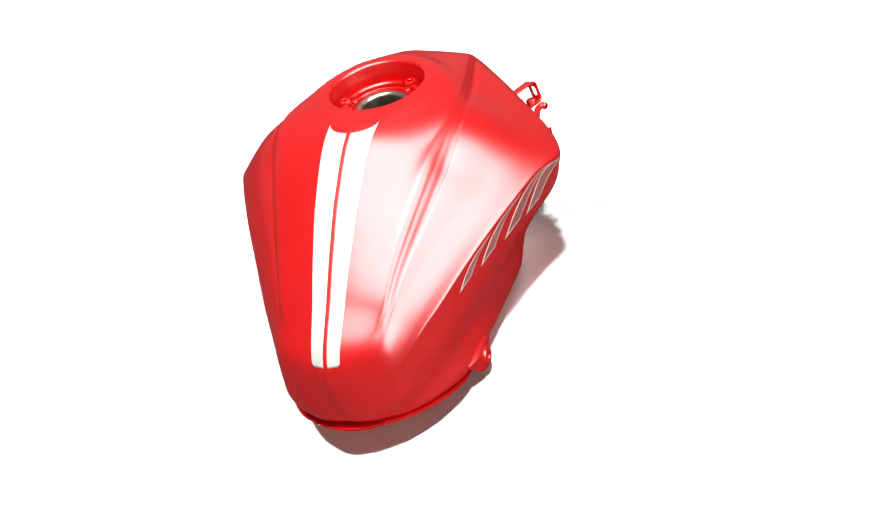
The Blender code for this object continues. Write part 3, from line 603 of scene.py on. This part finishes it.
# Filler neck: a steel tube that is welded into the dish's floor and hangs down into the tank.
# Its lip is rolled and polished, and is left bare because the cap seals on it.
NECK_ROLL_AT = (0.0262, 0.2385)
NECK_ROLL = (0.0039, 0.0030)
NECK_TUBE = ((0.0222, 0.232), (0.0222, 0.1995), (0.0230, 0.1995), (0.0230, 0.2372))


def steel_material(name, colour, roughness, grain):
    material, nodes, links, shader = new_material(name, colour, roughness, 1.0)
    shade = [c * 0.8 for c in colour]
    cloud = noise(nodes, links, grain, detail=6.0)
    clouded(nodes, links, shader, cloud, (shade, colour), (0.3, 0.7))
    dulled(nodes, links, shader, cloud, least=roughness * 0.8, most=roughness * 1.3)
    return material


# The grey-brown is the steel's own tint, set dark as painted shade for the deep, dark inside of the neck.
NECK_STEEL_AND_SHADE = steel_material("neck_steel_and_shade", (0.30, 0.27, 0.22), 0.30, 160.0)
neck_profile = [*arc(NECK_ROLL_AT, NECK_ROLL, -20, 180, 12), *NECK_TUBE]
neck = new_piece("filler_neck_lip", spun(neck_profile[::-1], (0, FILLER_Y, 0), 96), NECK_STEEL_AND_SHADE, smooth=50)
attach(neck, "tank")
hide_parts("filler_neck")


# Cap ring: a pressed ring on the dish floor, painted with the tank, that a flush cap is screwed to.
# Three hexagonal towers take the screws, and an arc-shaped rib runs from each tower to the next.
RING_Z = 0.2373
RING_BASE = (
    (0.0430, RING_Z), (0.0430, 0.2390), (0.0424, 0.2396), (0.0350, 0.2396), (0.0345, 0.2422),
    (0.0340, 0.2426), (0.0334, 0.2426), (0.0330, 0.2421), (0.0330, RING_Z),
)
RING_START = math.radians(57)
TOWERS = 3
TOWER_Z = 0.2478
TOWER_CIRCLE = 0.0428
TOWER_RADIUS = 0.0068
TOWER_EDGE = 0.0005
TOWER_HOLE = 0.0026
TOWER_HOLE_EDGE = (0.0003, 0.0004)
RIB_Z = 0.2464
RIB_INNER = 0.0376
RIB_OUTER = 0.0422
RIB_TURN = (math.radians(12), math.radians(108))
RIB_STEPS = 30
RIB_EDGE_SHARE = 0.3
POST_AT = (TOWER_CIRCLE - 0.0090, -0.0052, 0)
POST_Z = RIB_Z - 0.0025
POST_RADIUS = 0.0034
POST_EDGE = 0.0005
POST_HOLE = 0.0012
LOOP_POINTS = 48
HEX_HALF = math.pi / 6


def six_sided(bm, centre, rings):
    """A closed body from rings of (radius, height, is_round) about an upright axis; the rest are hexagons."""
    loops = []
    for radius, height, is_round in rings:
        loop = []
        for k in range(LOOP_POINTS):
            turn = math.tau * k / LOOP_POINTS
            flat = math.cos(HEX_HALF) / math.cos((turn % (2 * HEX_HALF)) - HEX_HALF)
            reach = radius if is_round else radius * flat
            place = Vector((reach * math.cos(turn), reach * math.sin(turn), height))
            loop.append(bm.verts.new(Vector(centre) + place))
        loops.append(loop)
    join_loops(bm, loops, closed=True)


def arc_wall(bm):
    """The upright rib along an arc, with its upper edges rounded."""
    ease = (RIB_OUTER - RIB_INNER) * RIB_EDGE_SHARE
    section = (
        (RIB_INNER, RING_Z), (RIB_OUTER, RING_Z), (RIB_OUTER, RIB_Z - ease), (RIB_OUTER - ease, RIB_Z),
        (RIB_INNER + ease, RIB_Z), (RIB_INNER, RIB_Z - ease),
    )
    start, end = RIB_TURN
    loops = []
    for k in range(RIB_STEPS + 1):
        turn = start + (end - start) * k / RIB_STEPS
        way = Vector((math.cos(turn), math.sin(turn), 0))
        loops.append([bm.verts.new(way * r + Vector((0, 0, z))) for r, z in section])
    join_loops(bm, loops, closed=False)


def repeated(piece, count, first, centre, material):
    """Sets copies of a piece evenly round an upright axis with Geometry Nodes."""
    tree = bpy.data.node_groups.new("set_round", "GeometryNodeTree")
    face = tree.interface
    face.new_socket("Geometry", in_out="INPUT", socket_type="NodeSocketGeometry")
    face.new_socket("Geometry", in_out="OUTPUT", socket_type="NodeSocketGeometry")
    wanted = {}
    for label, kind, value in (
        ("Count", "NodeSocketInt", count),
        ("First", "NodeSocketFloat", first),
        ("Centre", "NodeSocketVector", centre),
        ("Material", "NodeSocketMaterial", material),
    ):
        socket = face.new_socket(label, in_out="INPUT", socket_type=kind)
        wanted[socket.identifier] = value
    nodes = tree.nodes
    links = tree.links
    given = nodes.new("NodeGroupInput")
    result = nodes.new("NodeGroupOutput")
    points = nodes.new("GeometryNodePoints")
    index = nodes.new("GeometryNodeInputIndex")
    share = nodes.new("ShaderNodeMath")
    share.operation = "DIVIDE"
    turn = nodes.new("ShaderNodeMath")
    turn.operation = "MULTIPLY_ADD"
    turn.inputs[1].default_value = math.tau
    euler = nodes.new("ShaderNodeCombineXYZ")
    rotation = nodes.new("FunctionNodeEulerToRotation")
    place = nodes.new("GeometryNodeInstanceOnPoints")
    real = nodes.new("GeometryNodeRealizeInstances")
    paint = nodes.new("GeometryNodeSetMaterial")
    links.new(given.outputs["Count"], points.inputs["Count"])
    links.new(given.outputs["Centre"], points.inputs["Position"])
    links.new(index.outputs["Index"], share.inputs[0])
    links.new(given.outputs["Count"], share.inputs[1])
    links.new(share.outputs["Value"], turn.inputs[0])
    links.new(given.outputs["First"], turn.inputs[2])
    links.new(turn.outputs["Value"], euler.inputs["Z"])
    links.new(euler.outputs["Vector"], rotation.inputs["Euler"])
    links.new(points.outputs["Points"], place.inputs["Points"])
    links.new(given.outputs["Geometry"], place.inputs["Instance"])
    links.new(rotation.outputs["Rotation"], place.inputs["Rotation"])
    links.new(place.outputs["Instances"], real.inputs["Geometry"])
    links.new(real.outputs["Geometry"], paint.inputs["Geometry"])
    links.new(given.outputs["Material"], paint.inputs["Material"])
    links.new(paint.outputs["Geometry"], result.inputs["Geometry"])
    modifier = piece.modifiers.new("set_round", "NODES")
    modifier.node_group = tree
    for identifier, value in wanted.items():
        modifier[identifier] = value
    graph = bpy.context.evaluated_depsgraph_get()
    mesh = bpy.data.meshes.new_from_object(piece.evaluated_get(graph))
    piece.modifiers.clear()
    piece.data = mesh


base = new_piece("cap_ring_base", spun(RING_BASE, (0, FILLER_Y, 0), 96), RED_PAINT, smooth=50)
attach(base, "tank")
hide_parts("cap_ring")

towers = bmesh.new()
six_sided(towers, (TOWER_CIRCLE, 0, 0), (
    (TOWER_RADIUS, RING_Z, False), (TOWER_RADIUS, TOWER_Z - TOWER_EDGE, False),
    (TOWER_RADIUS - TOWER_EDGE, TOWER_Z, False), (TOWER_HOLE + TOWER_HOLE_EDGE[0], TOWER_Z, True),
    (TOWER_HOLE, TOWER_Z - TOWER_HOLE_EDGE[1], True), (TOWER_HOLE, RING_Z, True),
))
six_sided(towers, POST_AT, (
    (POST_RADIUS, RING_Z, True), (POST_RADIUS, POST_Z - POST_EDGE, True),
    (POST_RADIUS - POST_EDGE, POST_Z, True), (POST_HOLE, POST_Z, True), (POST_HOLE, RING_Z, True),
))
arc_wall(towers)
towers = new_piece("cap_ring_towers", towers, smooth=35)
repeated(towers, TOWERS, RING_START, (0, FILLER_Y, 0), RED_PAINT)
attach(towers, "tank")


# Bottom pan: a pressed steel floor for the tank with a tunnel over the frame's tube, welded on at the lip.
# It is painted with the tank, and the holes in it take the level sender, the tap and the drain.
PAN_DROP = 0.0016
PAN_SHEET = 0.001
TUNNEL_HALF = (0.030, 0.044)
TUNNEL_Z = (0.042, 0.084)
TUNNEL_CORNER = 0.008
LOBE_DROP = 0.007
LOBE_CORNER = 0.012
LOBE_FROM = 3
LOBE_OVER = 3
PAN_REAR_RUN = 1.5
SENDER_Y = 0.0072
PAN_HOLES = (
    (0.0223, (0, SENDER_Y, 0.0636)),
    (0.0118, (-0.062, -0.1128, 0.022)),
    (0.0034, (0, 0.1248, 0.075)),
)


def pan_corners(station, edge):
    """The corners of the pan across a station, from the tunnel's roof out to the lip."""
    share = station / STATIONS
    half = TUNNEL_HALF[0] + (TUNNEL_HALF[1] - TUNNEL_HALF[0]) * share
    rear = SPINE_LINE[0][1] / MM_PER_M
    front = SPINE_LINE[-1][1] / MM_PER_M
    roof = TUNNEL_Z[0] + (TUNNEL_Z[1] - TUNNEL_Z[0]) * (edge.y - FILLER_Y - rear) / (front - rear)
    drop = LOBE_DROP * smooth_step((station - LOBE_FROM) / LOBE_OVER)
    lobe = max(0.0, key_point(FLANGE_LINE, station).z - drop) + PAN_SHEET
    wall = max(lobe, min(lobe + TUNNEL_CORNER, roof - TUNNEL_CORNER))
    return [Vector((x, edge.y, z)) for x, z in (
        (0, roof), (half - TUNNEL_CORNER, roof), (half, roof - TUNNEL_CORNER),
        (half + TUNNEL_CORNER / 2, wall), (half + LOBE_CORNER, lobe),
        (edge.x - LOBE_CORNER, lobe), (edge.x, edge.z),
    )]


def pan_rows():
    drop = Vector((0, 0, PAN_DROP))
    columns = stepped(COLUMN_STEPS)
    rows = []
    for station, row in zip(stepped(STEPS), SKIN):
        corners = pan_corners(station, row[-1] - drop)
        from_rear = smooth_step(station / PAN_REAR_RUN)
        from_front = smooth_step(STATIONS - station)
        line = []
        for j, column in enumerate(columns):
            point = along(corners, column / columns[-1] * (len(corners) - 1))
            point.z = max(point.z, PAN_SHEET)
            point = (SKIN[0][j] - drop).lerp(point, from_rear)
            line.append((SKIN[-1][j] - drop).lerp(point, from_front))
        line[0].x = 0
        rows.append(line)
    return rows, [point - drop for point in SKIN_EDGE]


pan = new_piece("pan_sheet", sheet_of(*pan_rows()), RED_PAINT, smooth=180)
holes = bmesh.new()
for radius, place in PAN_HOLES:
    drill(holes, radius, depth=0.024, segments=64, place=place)
cut_sheet(pan, PAN_SHEET, new_piece("pan_holes", holes))
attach(pan, "tank")
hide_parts("bottom_pan")


# Ears: a web drawn out of the pan's lip low on each side, welded to the body and painted with it.
# A thin round boss with a rounded edge stands on the web and takes the fixing bolt.
EAR_Y = -0.0828
EAR_Z = 0.023
EAR_OUTER = 0.1070
EAR_REACH = (0.034, 0.030)
EAR_ENDS = 0.96
EAR_TAPER = 1.5
EAR_SINK = Vector((0.002, 0, 0))
EAR_SHOULDER = 0.004
EAR_THICK = 0.0025
EAR_STEPS = 40
EAR_ROWS = 20
EAR_FACE = (
    (EAR_OUTER - 0.0012, 0.0350), (EAR_OUTER, 0.0300), (EAR_OUTER, 0.0130), (EAR_OUTER - 0.001, 0.0096),
)
ROLL_COLUMN = 14.0
ROLL_SEARCH = (2.0, 8.0)
BOSS_PROFILE = (
    (0.0045, 0.1073), (0.0102, 0.1073), (0.0109, 0.1080), (0.0109, 0.1104), (0.0106, 0.1112),
    (0.0099, 0.1118), (0.0054, 0.1118), (0.0048, 0.1116), (0.0045, 0.1111),
)


def roll_at(y):
    """Where the body turns in towards the flange, at a distance along the tank."""
    station = halved(*ROLL_SEARCH, lambda trial: skin_point(trial, ROLL_COLUMN).y < y)
    return skin_point(station, ROLL_COLUMN)


def ear_mesh(side):
    bm = bmesh.new()
    grid = []
    for k in range(EAR_STEPS + 1):
        t = EAR_ENDS * (2 * k / EAR_STEPS - 1)
        grow = (1 - t * t) ** EAR_TAPER
        y = EAR_Y + t * EAR_REACH[0 if t < 0 else 1]
        foot = roll_at(y) - EAR_SINK
        corners = [foot + Vector((0, 0, EAR_SHOULDER * grow))]
        corners += [foot.lerp(Vector((x, y, z)), grow) for x, z in EAR_FACE]
        line = [along(corners, (len(corners) - 1) * j / EAR_ROWS) for j in range(EAR_ROWS + 1)]
        grid.append([bm.verts.new((side * p.x, p.y, p.z)) for p in line])
    fill_grid(bm, grid, side > 0)
    bm.normal_update()
    bmesh.ops.solidify(bm, geom=bm.faces[:], thickness=EAR_THICK)
    bmesh.ops.recalc_face_normals(bm, faces=bm.faces)
    return bm


for label, side in (("left", -1), ("right", 1)):
    ear = new_piece("ear_web_" + label, ear_mesh(side), RED_PAINT, smooth=45)
    boss = spun(BOSS_PROFILE, (0, 0, 0), 64)
    lay = Matrix(((0, 0, side, 0), (0, side, 0, EAR_Y), (-1, 0, 0, EAR_Z), (0, 0, 0, 1)))
    boss.transform(lay)
    boss = new_piece("ear_button_" + label, boss, RED_PAINT, smooth=45)
    for piece, node in ((ear, "ear_"), (boss, "ear_boss_")):
        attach(piece, "tank")
        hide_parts(node + label)


# Strap bracket: steel strip bent into a loop and welded to the front of the right half, then painted with it.
# The end plate has a round-ended slot for a bolt, and a nut is welded to the lower limb.
BRACKET_AT = Vector((0.130, 0.2129, 0.170))
BRACKET_OUT = Vector((0.4848, 0.8746, 0))
BRACKET_WIDE = Vector((0.8448, -0.4683, 0.2588))
BRACKET_UP = Vector((-0.2263, 0.1255, 0.9659))
STRAP_HALF_HEIGHT = 0.01175
STRAP_BEND = 0.0038
STRAP_THICK = 0.0025
STRAP_WIDE = 0.014
STRAP_ROOT_WIDE = 0.010
STRAP_EDGE = 0.0006
UPPER_BEND_AT = 0.005
LOWER_BEND_AT = 0.006
LIMB_STEPS = 8
BEND_STEPS = 7
SLOT_HALF = 0.004
SLOT_STRAIGHT = 0.005
SLOT_POINTS = 40
SLOT_CUT = 0.006
NUT_OUT = -0.012
NUT_GAP = 0.0003
NUT_RINGS = (
    (0.0060, 0, False), (0.0060, 0.0044, False), (0.0053, 0.0050, True), (0.0030, 0.0050, True),
    (0.0026, 0.0046, True), (0.0026, 0, True),
)


def strap_path(upper, lower):
    """Middle line of the strip, as (out, up), from the upper root round the end to the lower root."""
    limb = [k / LIMB_STEPS for k in range(LIMB_STEPS + 1)]
    points = [(-upper + (upper - UPPER_BEND_AT) * share, STRAP_HALF_HEIGHT) for share in limb]
    for centre, first in ((STRAP_HALF_HEIGHT - STRAP_BEND, 90), (STRAP_BEND - STRAP_HALF_HEIGHT, 0)):
        middle = (-STRAP_BEND - STRAP_THICK / 2, centre)
        points += arc(middle, (STRAP_BEND, STRAP_BEND), first, first - 90, BEND_STEPS)[1:]
    points += [(-LOWER_BEND_AT + (LOWER_BEND_AT - lower) * share, -STRAP_HALF_HEIGHT) for share in limb]
    return points


def strap_mesh(path):
    bm = bmesh.new()
    loops = []
    thick = STRAP_THICK / 2
    ease = STRAP_EDGE
    for k, (out, up) in enumerate(path):
        before = Vector(path[max(k - 1, 0)])
        after = Vector(path[min(k + 1, len(path) - 1)])
        run = (after - before).normalized()
        outward = BRACKET_OUT * -run.y + BRACKET_UP * run.x
        widen = min(1.0, k / LIMB_STEPS)
        half = (STRAP_ROOT_WIDE + (STRAP_WIDE - STRAP_ROOT_WIDE) * widen) / 2
        middle = BRACKET_AT + BRACKET_OUT * out + BRACKET_UP * up
        section = (
            (half - ease, thick), (half, thick - ease), (half, ease - thick), (half - ease, -thick),
            (ease - half, -thick), (-half, ease - thick), (-half, thick - ease), (ease - half, thick),
        )
        loops.append([bm.verts.new(middle + BRACKET_WIDE * wide + outward * deep) for wide, deep in section])
    join_loops(bm, loops, closed=False)
    return bm


def slot_cutter():
    bm = bmesh.new()
    ends = []
    for depth in (-SLOT_CUT, SLOT_CUT):
        loop = []
        for k in range(SLOT_POINTS):
            turn = math.tau * (k + 0.5) / SLOT_POINTS
            shift = math.copysign(SLOT_STRAIGHT / 2, math.sin(turn))
            loop.append(bm.verts.new((SLOT_HALF * math.cos(turn), SLOT_HALF * math.sin(turn) + shift, depth)))
        ends.append(loop)
    lay = Matrix((BRACKET_WIDE, BRACKET_UP, BRACKET_OUT)).transposed().to_4x4()
    bm.transform(Matrix.Translation(BRACKET_AT) @ lay)
    join_loops(bm, ends, closed=False)
    return bm


bracket_node = frame["nodes"]["front_bracket"]
drawn = [bracket_node.matrix_world @ v.co - BRACKET_AT for v in bracket_node.data.vertices]
upper = -min(v.dot(BRACKET_OUT) for v in drawn if v.dot(BRACKET_UP) > 0)
lower = -min(v.dot(BRACKET_OUT) for v in drawn if v.dot(BRACKET_UP) < 0)
strap = new_piece("strap_bracket", strap_mesh(strap_path(upper, lower)), RED_PAINT, smooth=45)
cut_sheet(strap, 0, new_piece("strap_slot", slot_cutter()), smooth=45)
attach(strap, "tank")
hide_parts("front_bracket")

nut = bmesh.new()
six_sided(nut, (0, 0, 0), NUT_RINGS)
stand = Matrix((BRACKET_WIDE, BRACKET_UP.cross(BRACKET_WIDE), BRACKET_UP)).transposed().to_4x4()
foot = BRACKET_AT + BRACKET_OUT * NUT_OUT + BRACKET_UP * (NUT_GAP + STRAP_THICK / 2 - STRAP_HALF_HEIGHT)
nut.transform(Matrix.Translation(foot) @ stand)
nut = new_piece("welded_nut", nut, RED_PAINT, smooth=40)
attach(nut, "tank")
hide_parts("bracket_nut")


# Vent nipple: a short steel tube brazed into the front of the right half and bent round at its end.
# A breather hose is pushed over the bead at the open end; it is painted with the tank.
NIPPLE_LINE = (
    (145, 124.5, 166), (144.5, 140, 166.5), (142.5, 156, 168), (142, 168, 170), (146, 174.5, 171),
    (151, 172, 170.5),
)
NIPPLE_RADIUS = 0.0036
NIPPLE_BORE = 0.0022
NIPPLE_STEPS = 40
NIPPLE_POINTS = 28
BEAD = 0.0005
BEAD_BACK = 3
BEAD_HALF = 2


def tube_mesh(path):
    """A hollow tube along a path, with a bead and a rounded lip at its far end."""
    bm = bmesh.new()
    last = NIPPLE_STEPS
    fine = [along(path, (len(path) - 1) * k / last) for k in range(last + 1)]
    rings = []
    for k in range(last + 1):
        bead = BEAD * max(0.0, 1 - abs(k - last + BEAD_BACK) / BEAD_HALF)
        rings.append((k, NIPPLE_RADIUS + bead - (BEAD if k == last else 0)))
    rings += [(k, NIPPLE_BORE) for k in range(last, -1, -1)]
    upright = Vector((0, 0, 1))
    loops = []
    for k, radius in rings:
        run = (fine[min(k + 1, last)] - fine[max(k - 1, 0)]).normalized()
        a = run.cross(upright).normalized()
        b = run.cross(a)
        loop = []
        for i in range(NIPPLE_POINTS):
            turn = math.tau * i / NIPPLE_POINTS
            loop.append(bm.verts.new(fine[k] + (a * math.cos(turn) + b * math.sin(turn)) * radius))
        loops.append(loop)
    join_loops(bm, loops, closed=True)
    return bm


nipple_path = [Vector(p) / MM_PER_M for p in NIPPLE_LINE]
nipple = new_piece("vent_pipe", tube_mesh(nipple_path), RED_PAINT, smooth=45)
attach(nipple, "tank")
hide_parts("vent_nipple")


# Clip tabs: a small channel of folded sheet on the front of each half, welded down and painted with it.
# Its two upright walls hold a trim clip, which snaps into the hole in its floor.
CLIP_AT = Vector((0.156, 0.1249, 0.164))
CLIP_OUT = Vector((0.7248, 0.6890, -0.0059))
CLIP_HALF = 0.007
CLIP_RISE = 0.007
CLIP_HOLE = 0.0025
CLIP_WALL = 0.0020
CLIP_ROOT = -0.002
CLIP_FLOOR = 0.0024
CLIP_CORNER = 0.0010
CLIP_OUTER_EDGE = 0.0006
CLIP_INNER_EDGE = 0.0004


def clip_mesh(side):
    level = CLIP_OUT.cross(Vector((0, 0, 1))).normalized()
    upward = level.cross(-CLIP_OUT)
    inner = CLIP_HALF - CLIP_WALL
    half = [
        (CLIP_HALF, CLIP_ROOT), (CLIP_HALF, CLIP_RISE - CLIP_OUTER_EDGE),
        (CLIP_HALF - CLIP_OUTER_EDGE, CLIP_RISE), (inner + CLIP_INNER_EDGE, CLIP_RISE),
        (inner, CLIP_RISE - CLIP_INNER_EDGE), (inner, CLIP_FLOOR + CLIP_CORNER),
        (inner - CLIP_CORNER, CLIP_FLOOR),
    ]
    other_half = [(-a, b) for a, b in reversed(half)]
    section = [other_half[-1], *half, *other_half[:-1]]
    bm = bmesh.new()
    loops = []
    for end in (-CLIP_HALF, CLIP_HALF):
        loops.append([bm.verts.new(CLIP_AT + level * a + CLIP_OUT * b + upward * end) for a, b in section])
    bm.transform(Matrix.Diagonal((side, 1, 1, 1)))
    join_loops(bm, loops, closed=False)
    return bm


for label, side in (("left", -1), ("right", 1)):
    clip = new_piece("clip_channel_" + label, clip_mesh(side), RED_PAINT, smooth=40)
    hole = bmesh.new()
    drill(hole, CLIP_HOLE, depth=0.04, segments=32)
    out = Vector((side * CLIP_OUT.x, CLIP_OUT.y, CLIP_OUT.z))
    at = Vector((side * CLIP_AT.x, CLIP_AT.y, CLIP_AT.z))
    hole.transform(Matrix.Translation(at) @ out.to_track_quat("Z", "Y").to_matrix().to_4x4())
    cut_sheet(clip, 0, new_piece("clip_hole", hole), smooth=40)
    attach(clip, "tank")
    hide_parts("clip_tab_" + label)


# Sender screws: four zinc-plated socket-head screws, turned and cold-headed, with a rounded edge.
# They hold the level sender's flange up against its gasket.
ZINC = steel_material("zinc_plate", (0.58, 0.57, 0.54), 0.38, 220.0)
SCREW_TOP = 0.0502
SCREW_CIRCLE = 0.018
SCREW_RADIUS = 0.0032
SCREW_HIGH = 0.0024
SCREW_EDGE = 0.0005
SCREW_FACE = SCREW_TOP - SCREW_HIGH
SOCKET_RADIUS = (0.0017, 0.0016)
SOCKET_FLOOR = SCREW_TOP - 0.0010
SCREW_AXIS = 0.0001
SCREWS = 4
SCREW_START = math.radians(45)
SENDER_SCREW = (
    (SCREW_RADIUS, SCREW_TOP, True), (SCREW_RADIUS, SCREW_FACE + SCREW_EDGE, True),
    (SCREW_RADIUS - SCREW_EDGE, SCREW_FACE, True), (SOCKET_RADIUS[0], SCREW_FACE, False),
    (SOCKET_RADIUS[1], SOCKET_FLOOR, False), (SCREW_AXIS, SOCKET_FLOOR, True), (SCREW_AXIS, SCREW_TOP, True),
)
screws = bmesh.new()
six_sided(screws, (SCREW_CIRCLE, 0, 0), SENDER_SCREW)
screws = new_piece("sender_screw_heads", screws, smooth=40)
repeated(screws, SCREWS, SCREW_START, (0, SENDER_Y, 0), ZINC)
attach(screws, "tank")
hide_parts("sender_screw_1", "sender_screw_2", "sender_screw_3", "sender_screw_4")


# Pieces that keep their drawn shape: the rear lug, drain and baffle, and the level sender and tap in the pan.
# The lug is painted and the other steel is zinc-plated. The tap has a cast alloy body with a plastic lever
# and strainer, and the bush and the gaskets are moulded rubber.
ALLOY = steel_material("cast_alloy", (0.50, 0.50, 0.50), 0.5, 300.0)


def moulded_material(name, colour, roughness, grain):
    material, nodes, links, shader = new_material(name, colour, roughness)
    tones = ([c * 0.6 for c in colour], [c * 1.4 for c in colour])
    cloud = noise(nodes, links, grain, detail=5.0)
    clouded(nodes, links, shader, cloud, tones, (0.0, 1.0))
    roughened(nodes, links, shader, cloud, strength=0.15, distance=0.0003)
    return material


RUBBER = moulded_material("black_rubber", (0.022, 0.021, 0.020), 0.75, 700.0)
PLASTIC = moulded_material("black_plastic", (0.028, 0.028, 0.030), 0.48, 900.0)
finishes = {
    "red_paint": RED_PAINT,
    "bare_steel": NECK_STEEL_AND_SHADE,
    "zinc_steel": ZINC,
    "cast_alloy": ALLOY,
    "black_rubber": RUBBER,
    "black_plastic": PLASTIC,
}
for subpart in frame["record"]["subparts"]:
    node = frame["nodes"][subpart["node"]]
    node.data.materials.clear()
    node.data.materials.append(finishes[subpart["material_slot"]])


# White plain floor under the tank, a faint sky and three lamps for its light, and three cards for its sheen.
# The camera stands where the picture was taken from.
PICTURE_WIDTH = 870
FOCAL_PIXELS = 1208
SENSOR_WIDTH = 36
floor = bmesh.new()
bmesh.ops.create_grid(floor, x_segments=1, y_segments=1, size=6.0)
floor = new_piece("floor", floor)
material = bpy.data.materials.new("studio_floor")
material.use_nodes = True
nodes = material.node_tree.nodes
links = material.node_tree.links
nodes.clear()
seen = nodes.new("ShaderNodeLightPath")
shown = nodes.new("ShaderNodeBsdfDiffuse")
shown.inputs["Color"].default_value = (1.40, 1.60, 1.55, 1)
bounce = nodes.new("ShaderNodeBsdfDiffuse")
mirrored = nodes.new("ShaderNodeMapRange")
mirrored.inputs["To Min"].default_value = 0.6
mirrored.inputs["To Max"].default_value = 0.1
links.new(seen.outputs["Is Glossy Ray"], mirrored.inputs["Value"])
links.new(mirrored.outputs["Result"], bounce.inputs["Color"])
either = nodes.new("ShaderNodeMixShader")
out = nodes.new("ShaderNodeOutputMaterial")
# The floor glows a faint green-grey for the camera: painted fill light that lifts its shadow and takes the
# red out of it.
floor_glow = nodes.new("ShaderNodeEmission")
floor_glow.inputs["Color"].default_value = (0.0, 0.02, 0.015, 1)
floor_with_glow = nodes.new("ShaderNodeAddShader")
links.new(shown.outputs["BSDF"], floor_with_glow.inputs[0])
links.new(floor_glow.outputs["Emission"], floor_with_glow.inputs[1])
links.new(seen.outputs["Is Camera Ray"], either.inputs["Fac"])
links.new(bounce.outputs["BSDF"], either.inputs[1])
links.new(floor_with_glow.outputs["Shader"], either.inputs[2])
links.new(either.outputs["Shader"], out.inputs["Surface"])
floor.data.materials.append(material)

world = bpy.data.worlds.new("studio")
bpy.context.scene.world = world
world.use_nodes = True
nodes = world.node_tree.nodes
links = world.node_tree.links
sky = nodes["Background"]
sky.inputs["Color"].default_value = (1, 1, 1, 1)
seen = nodes.new("ShaderNodeLightPath")
glossy = nodes.new("ShaderNodeMath")
glossy.operation = "MULTIPLY_ADD"
glossy.inputs[1].default_value = 0.28
glossy.inputs[2].default_value = 0.03
level = nodes.new("ShaderNodeMath")
level.operation = "MULTIPLY_ADD"
level.inputs[1].default_value = 0.97
links.new(seen.outputs["Is Glossy Ray"], glossy.inputs[0])
links.new(seen.outputs["Is Camera Ray"], level.inputs[0])
links.new(glossy.outputs["Value"], level.inputs[2])
links.new(level.outputs["Value"], sky.inputs["Strength"])


def sun_light(name, direction, strength, softness):
    data = bpy.data.lights.new(name, "SUN")
    data.energy = strength
    data.angle = math.radians(softness)
    lamp = bpy.data.objects.new(name, data)
    lamp.rotation_euler = Vector(direction).to_track_quat("Z", "Y").to_euler()
    bpy.context.scene.collection.objects.link(lamp)
    return lamp


def panel_light(name, place, facing, size, brightness):
    data = bpy.data.lights.new(name, "AREA")
    data.shape = "RECTANGLE"
    data.size, data.size_y = size
    data.energy = brightness * math.pi * size[0] * size[1]
    lamp = bpy.data.objects.new(name, data)
    lamp.location = place
    lamp.rotation_euler = (-Vector(facing)).to_track_quat("Z", "Y").to_euler()
    bpy.context.scene.collection.objects.link(lamp)
    return lamp


left_key = sun_light("left_key", (-0.30, -0.10, 1), 2.2, 2.5)
right_key = panel_light("right_key", (0.46, -0.46, 1.56), (-0.46, 0.46, -1.36), (0.07, 0.07), 1200)
right_fill = sun_light("right_fill", (0.9, -0.45, 0.10), 0.9, 20)
for lamp in (left_key, right_key, right_fill):
    lamp.visible_glossy = False
overhead_card = panel_light("overhead_card", (0.045, -0.315, 1.4), (0, 0, -1), (0.63, 1.53), 25)
beside_card = panel_light("beside_card", (0.73, -0.64, 1.4), (0, 0, -1), (0.74, 0.98), 25)
right_card = panel_light("right_card", (1.2, -0.32, 1.25), (-1, 0, 0), (0.95, 2.1), 24)
for card in (overhead_card, beside_card, right_card):
    card.visible_diffuse = False

view = bpy.data.cameras.new("camera")
view.lens = FOCAL_PIXELS / PICTURE_WIDTH * SENSOR_WIDTH
view.sensor_width = SENSOR_WIDTH
camera = bpy.data.objects.new("camera", view)
camera.matrix_world = Matrix((
    (0.9414, 0.0250, 0.3363, 0.4853),
    (0.2537, 0.6043, -0.7552, -0.9895),
    (-0.2221, 0.7963, 0.5626, 0.8234),
    (0, 0, 0, 1),
))
bpy.context.scene.collection.objects.link(camera)
bpy.context.scene.camera = camera
bpy.context.scene.view_settings.view_transform = "Standard"
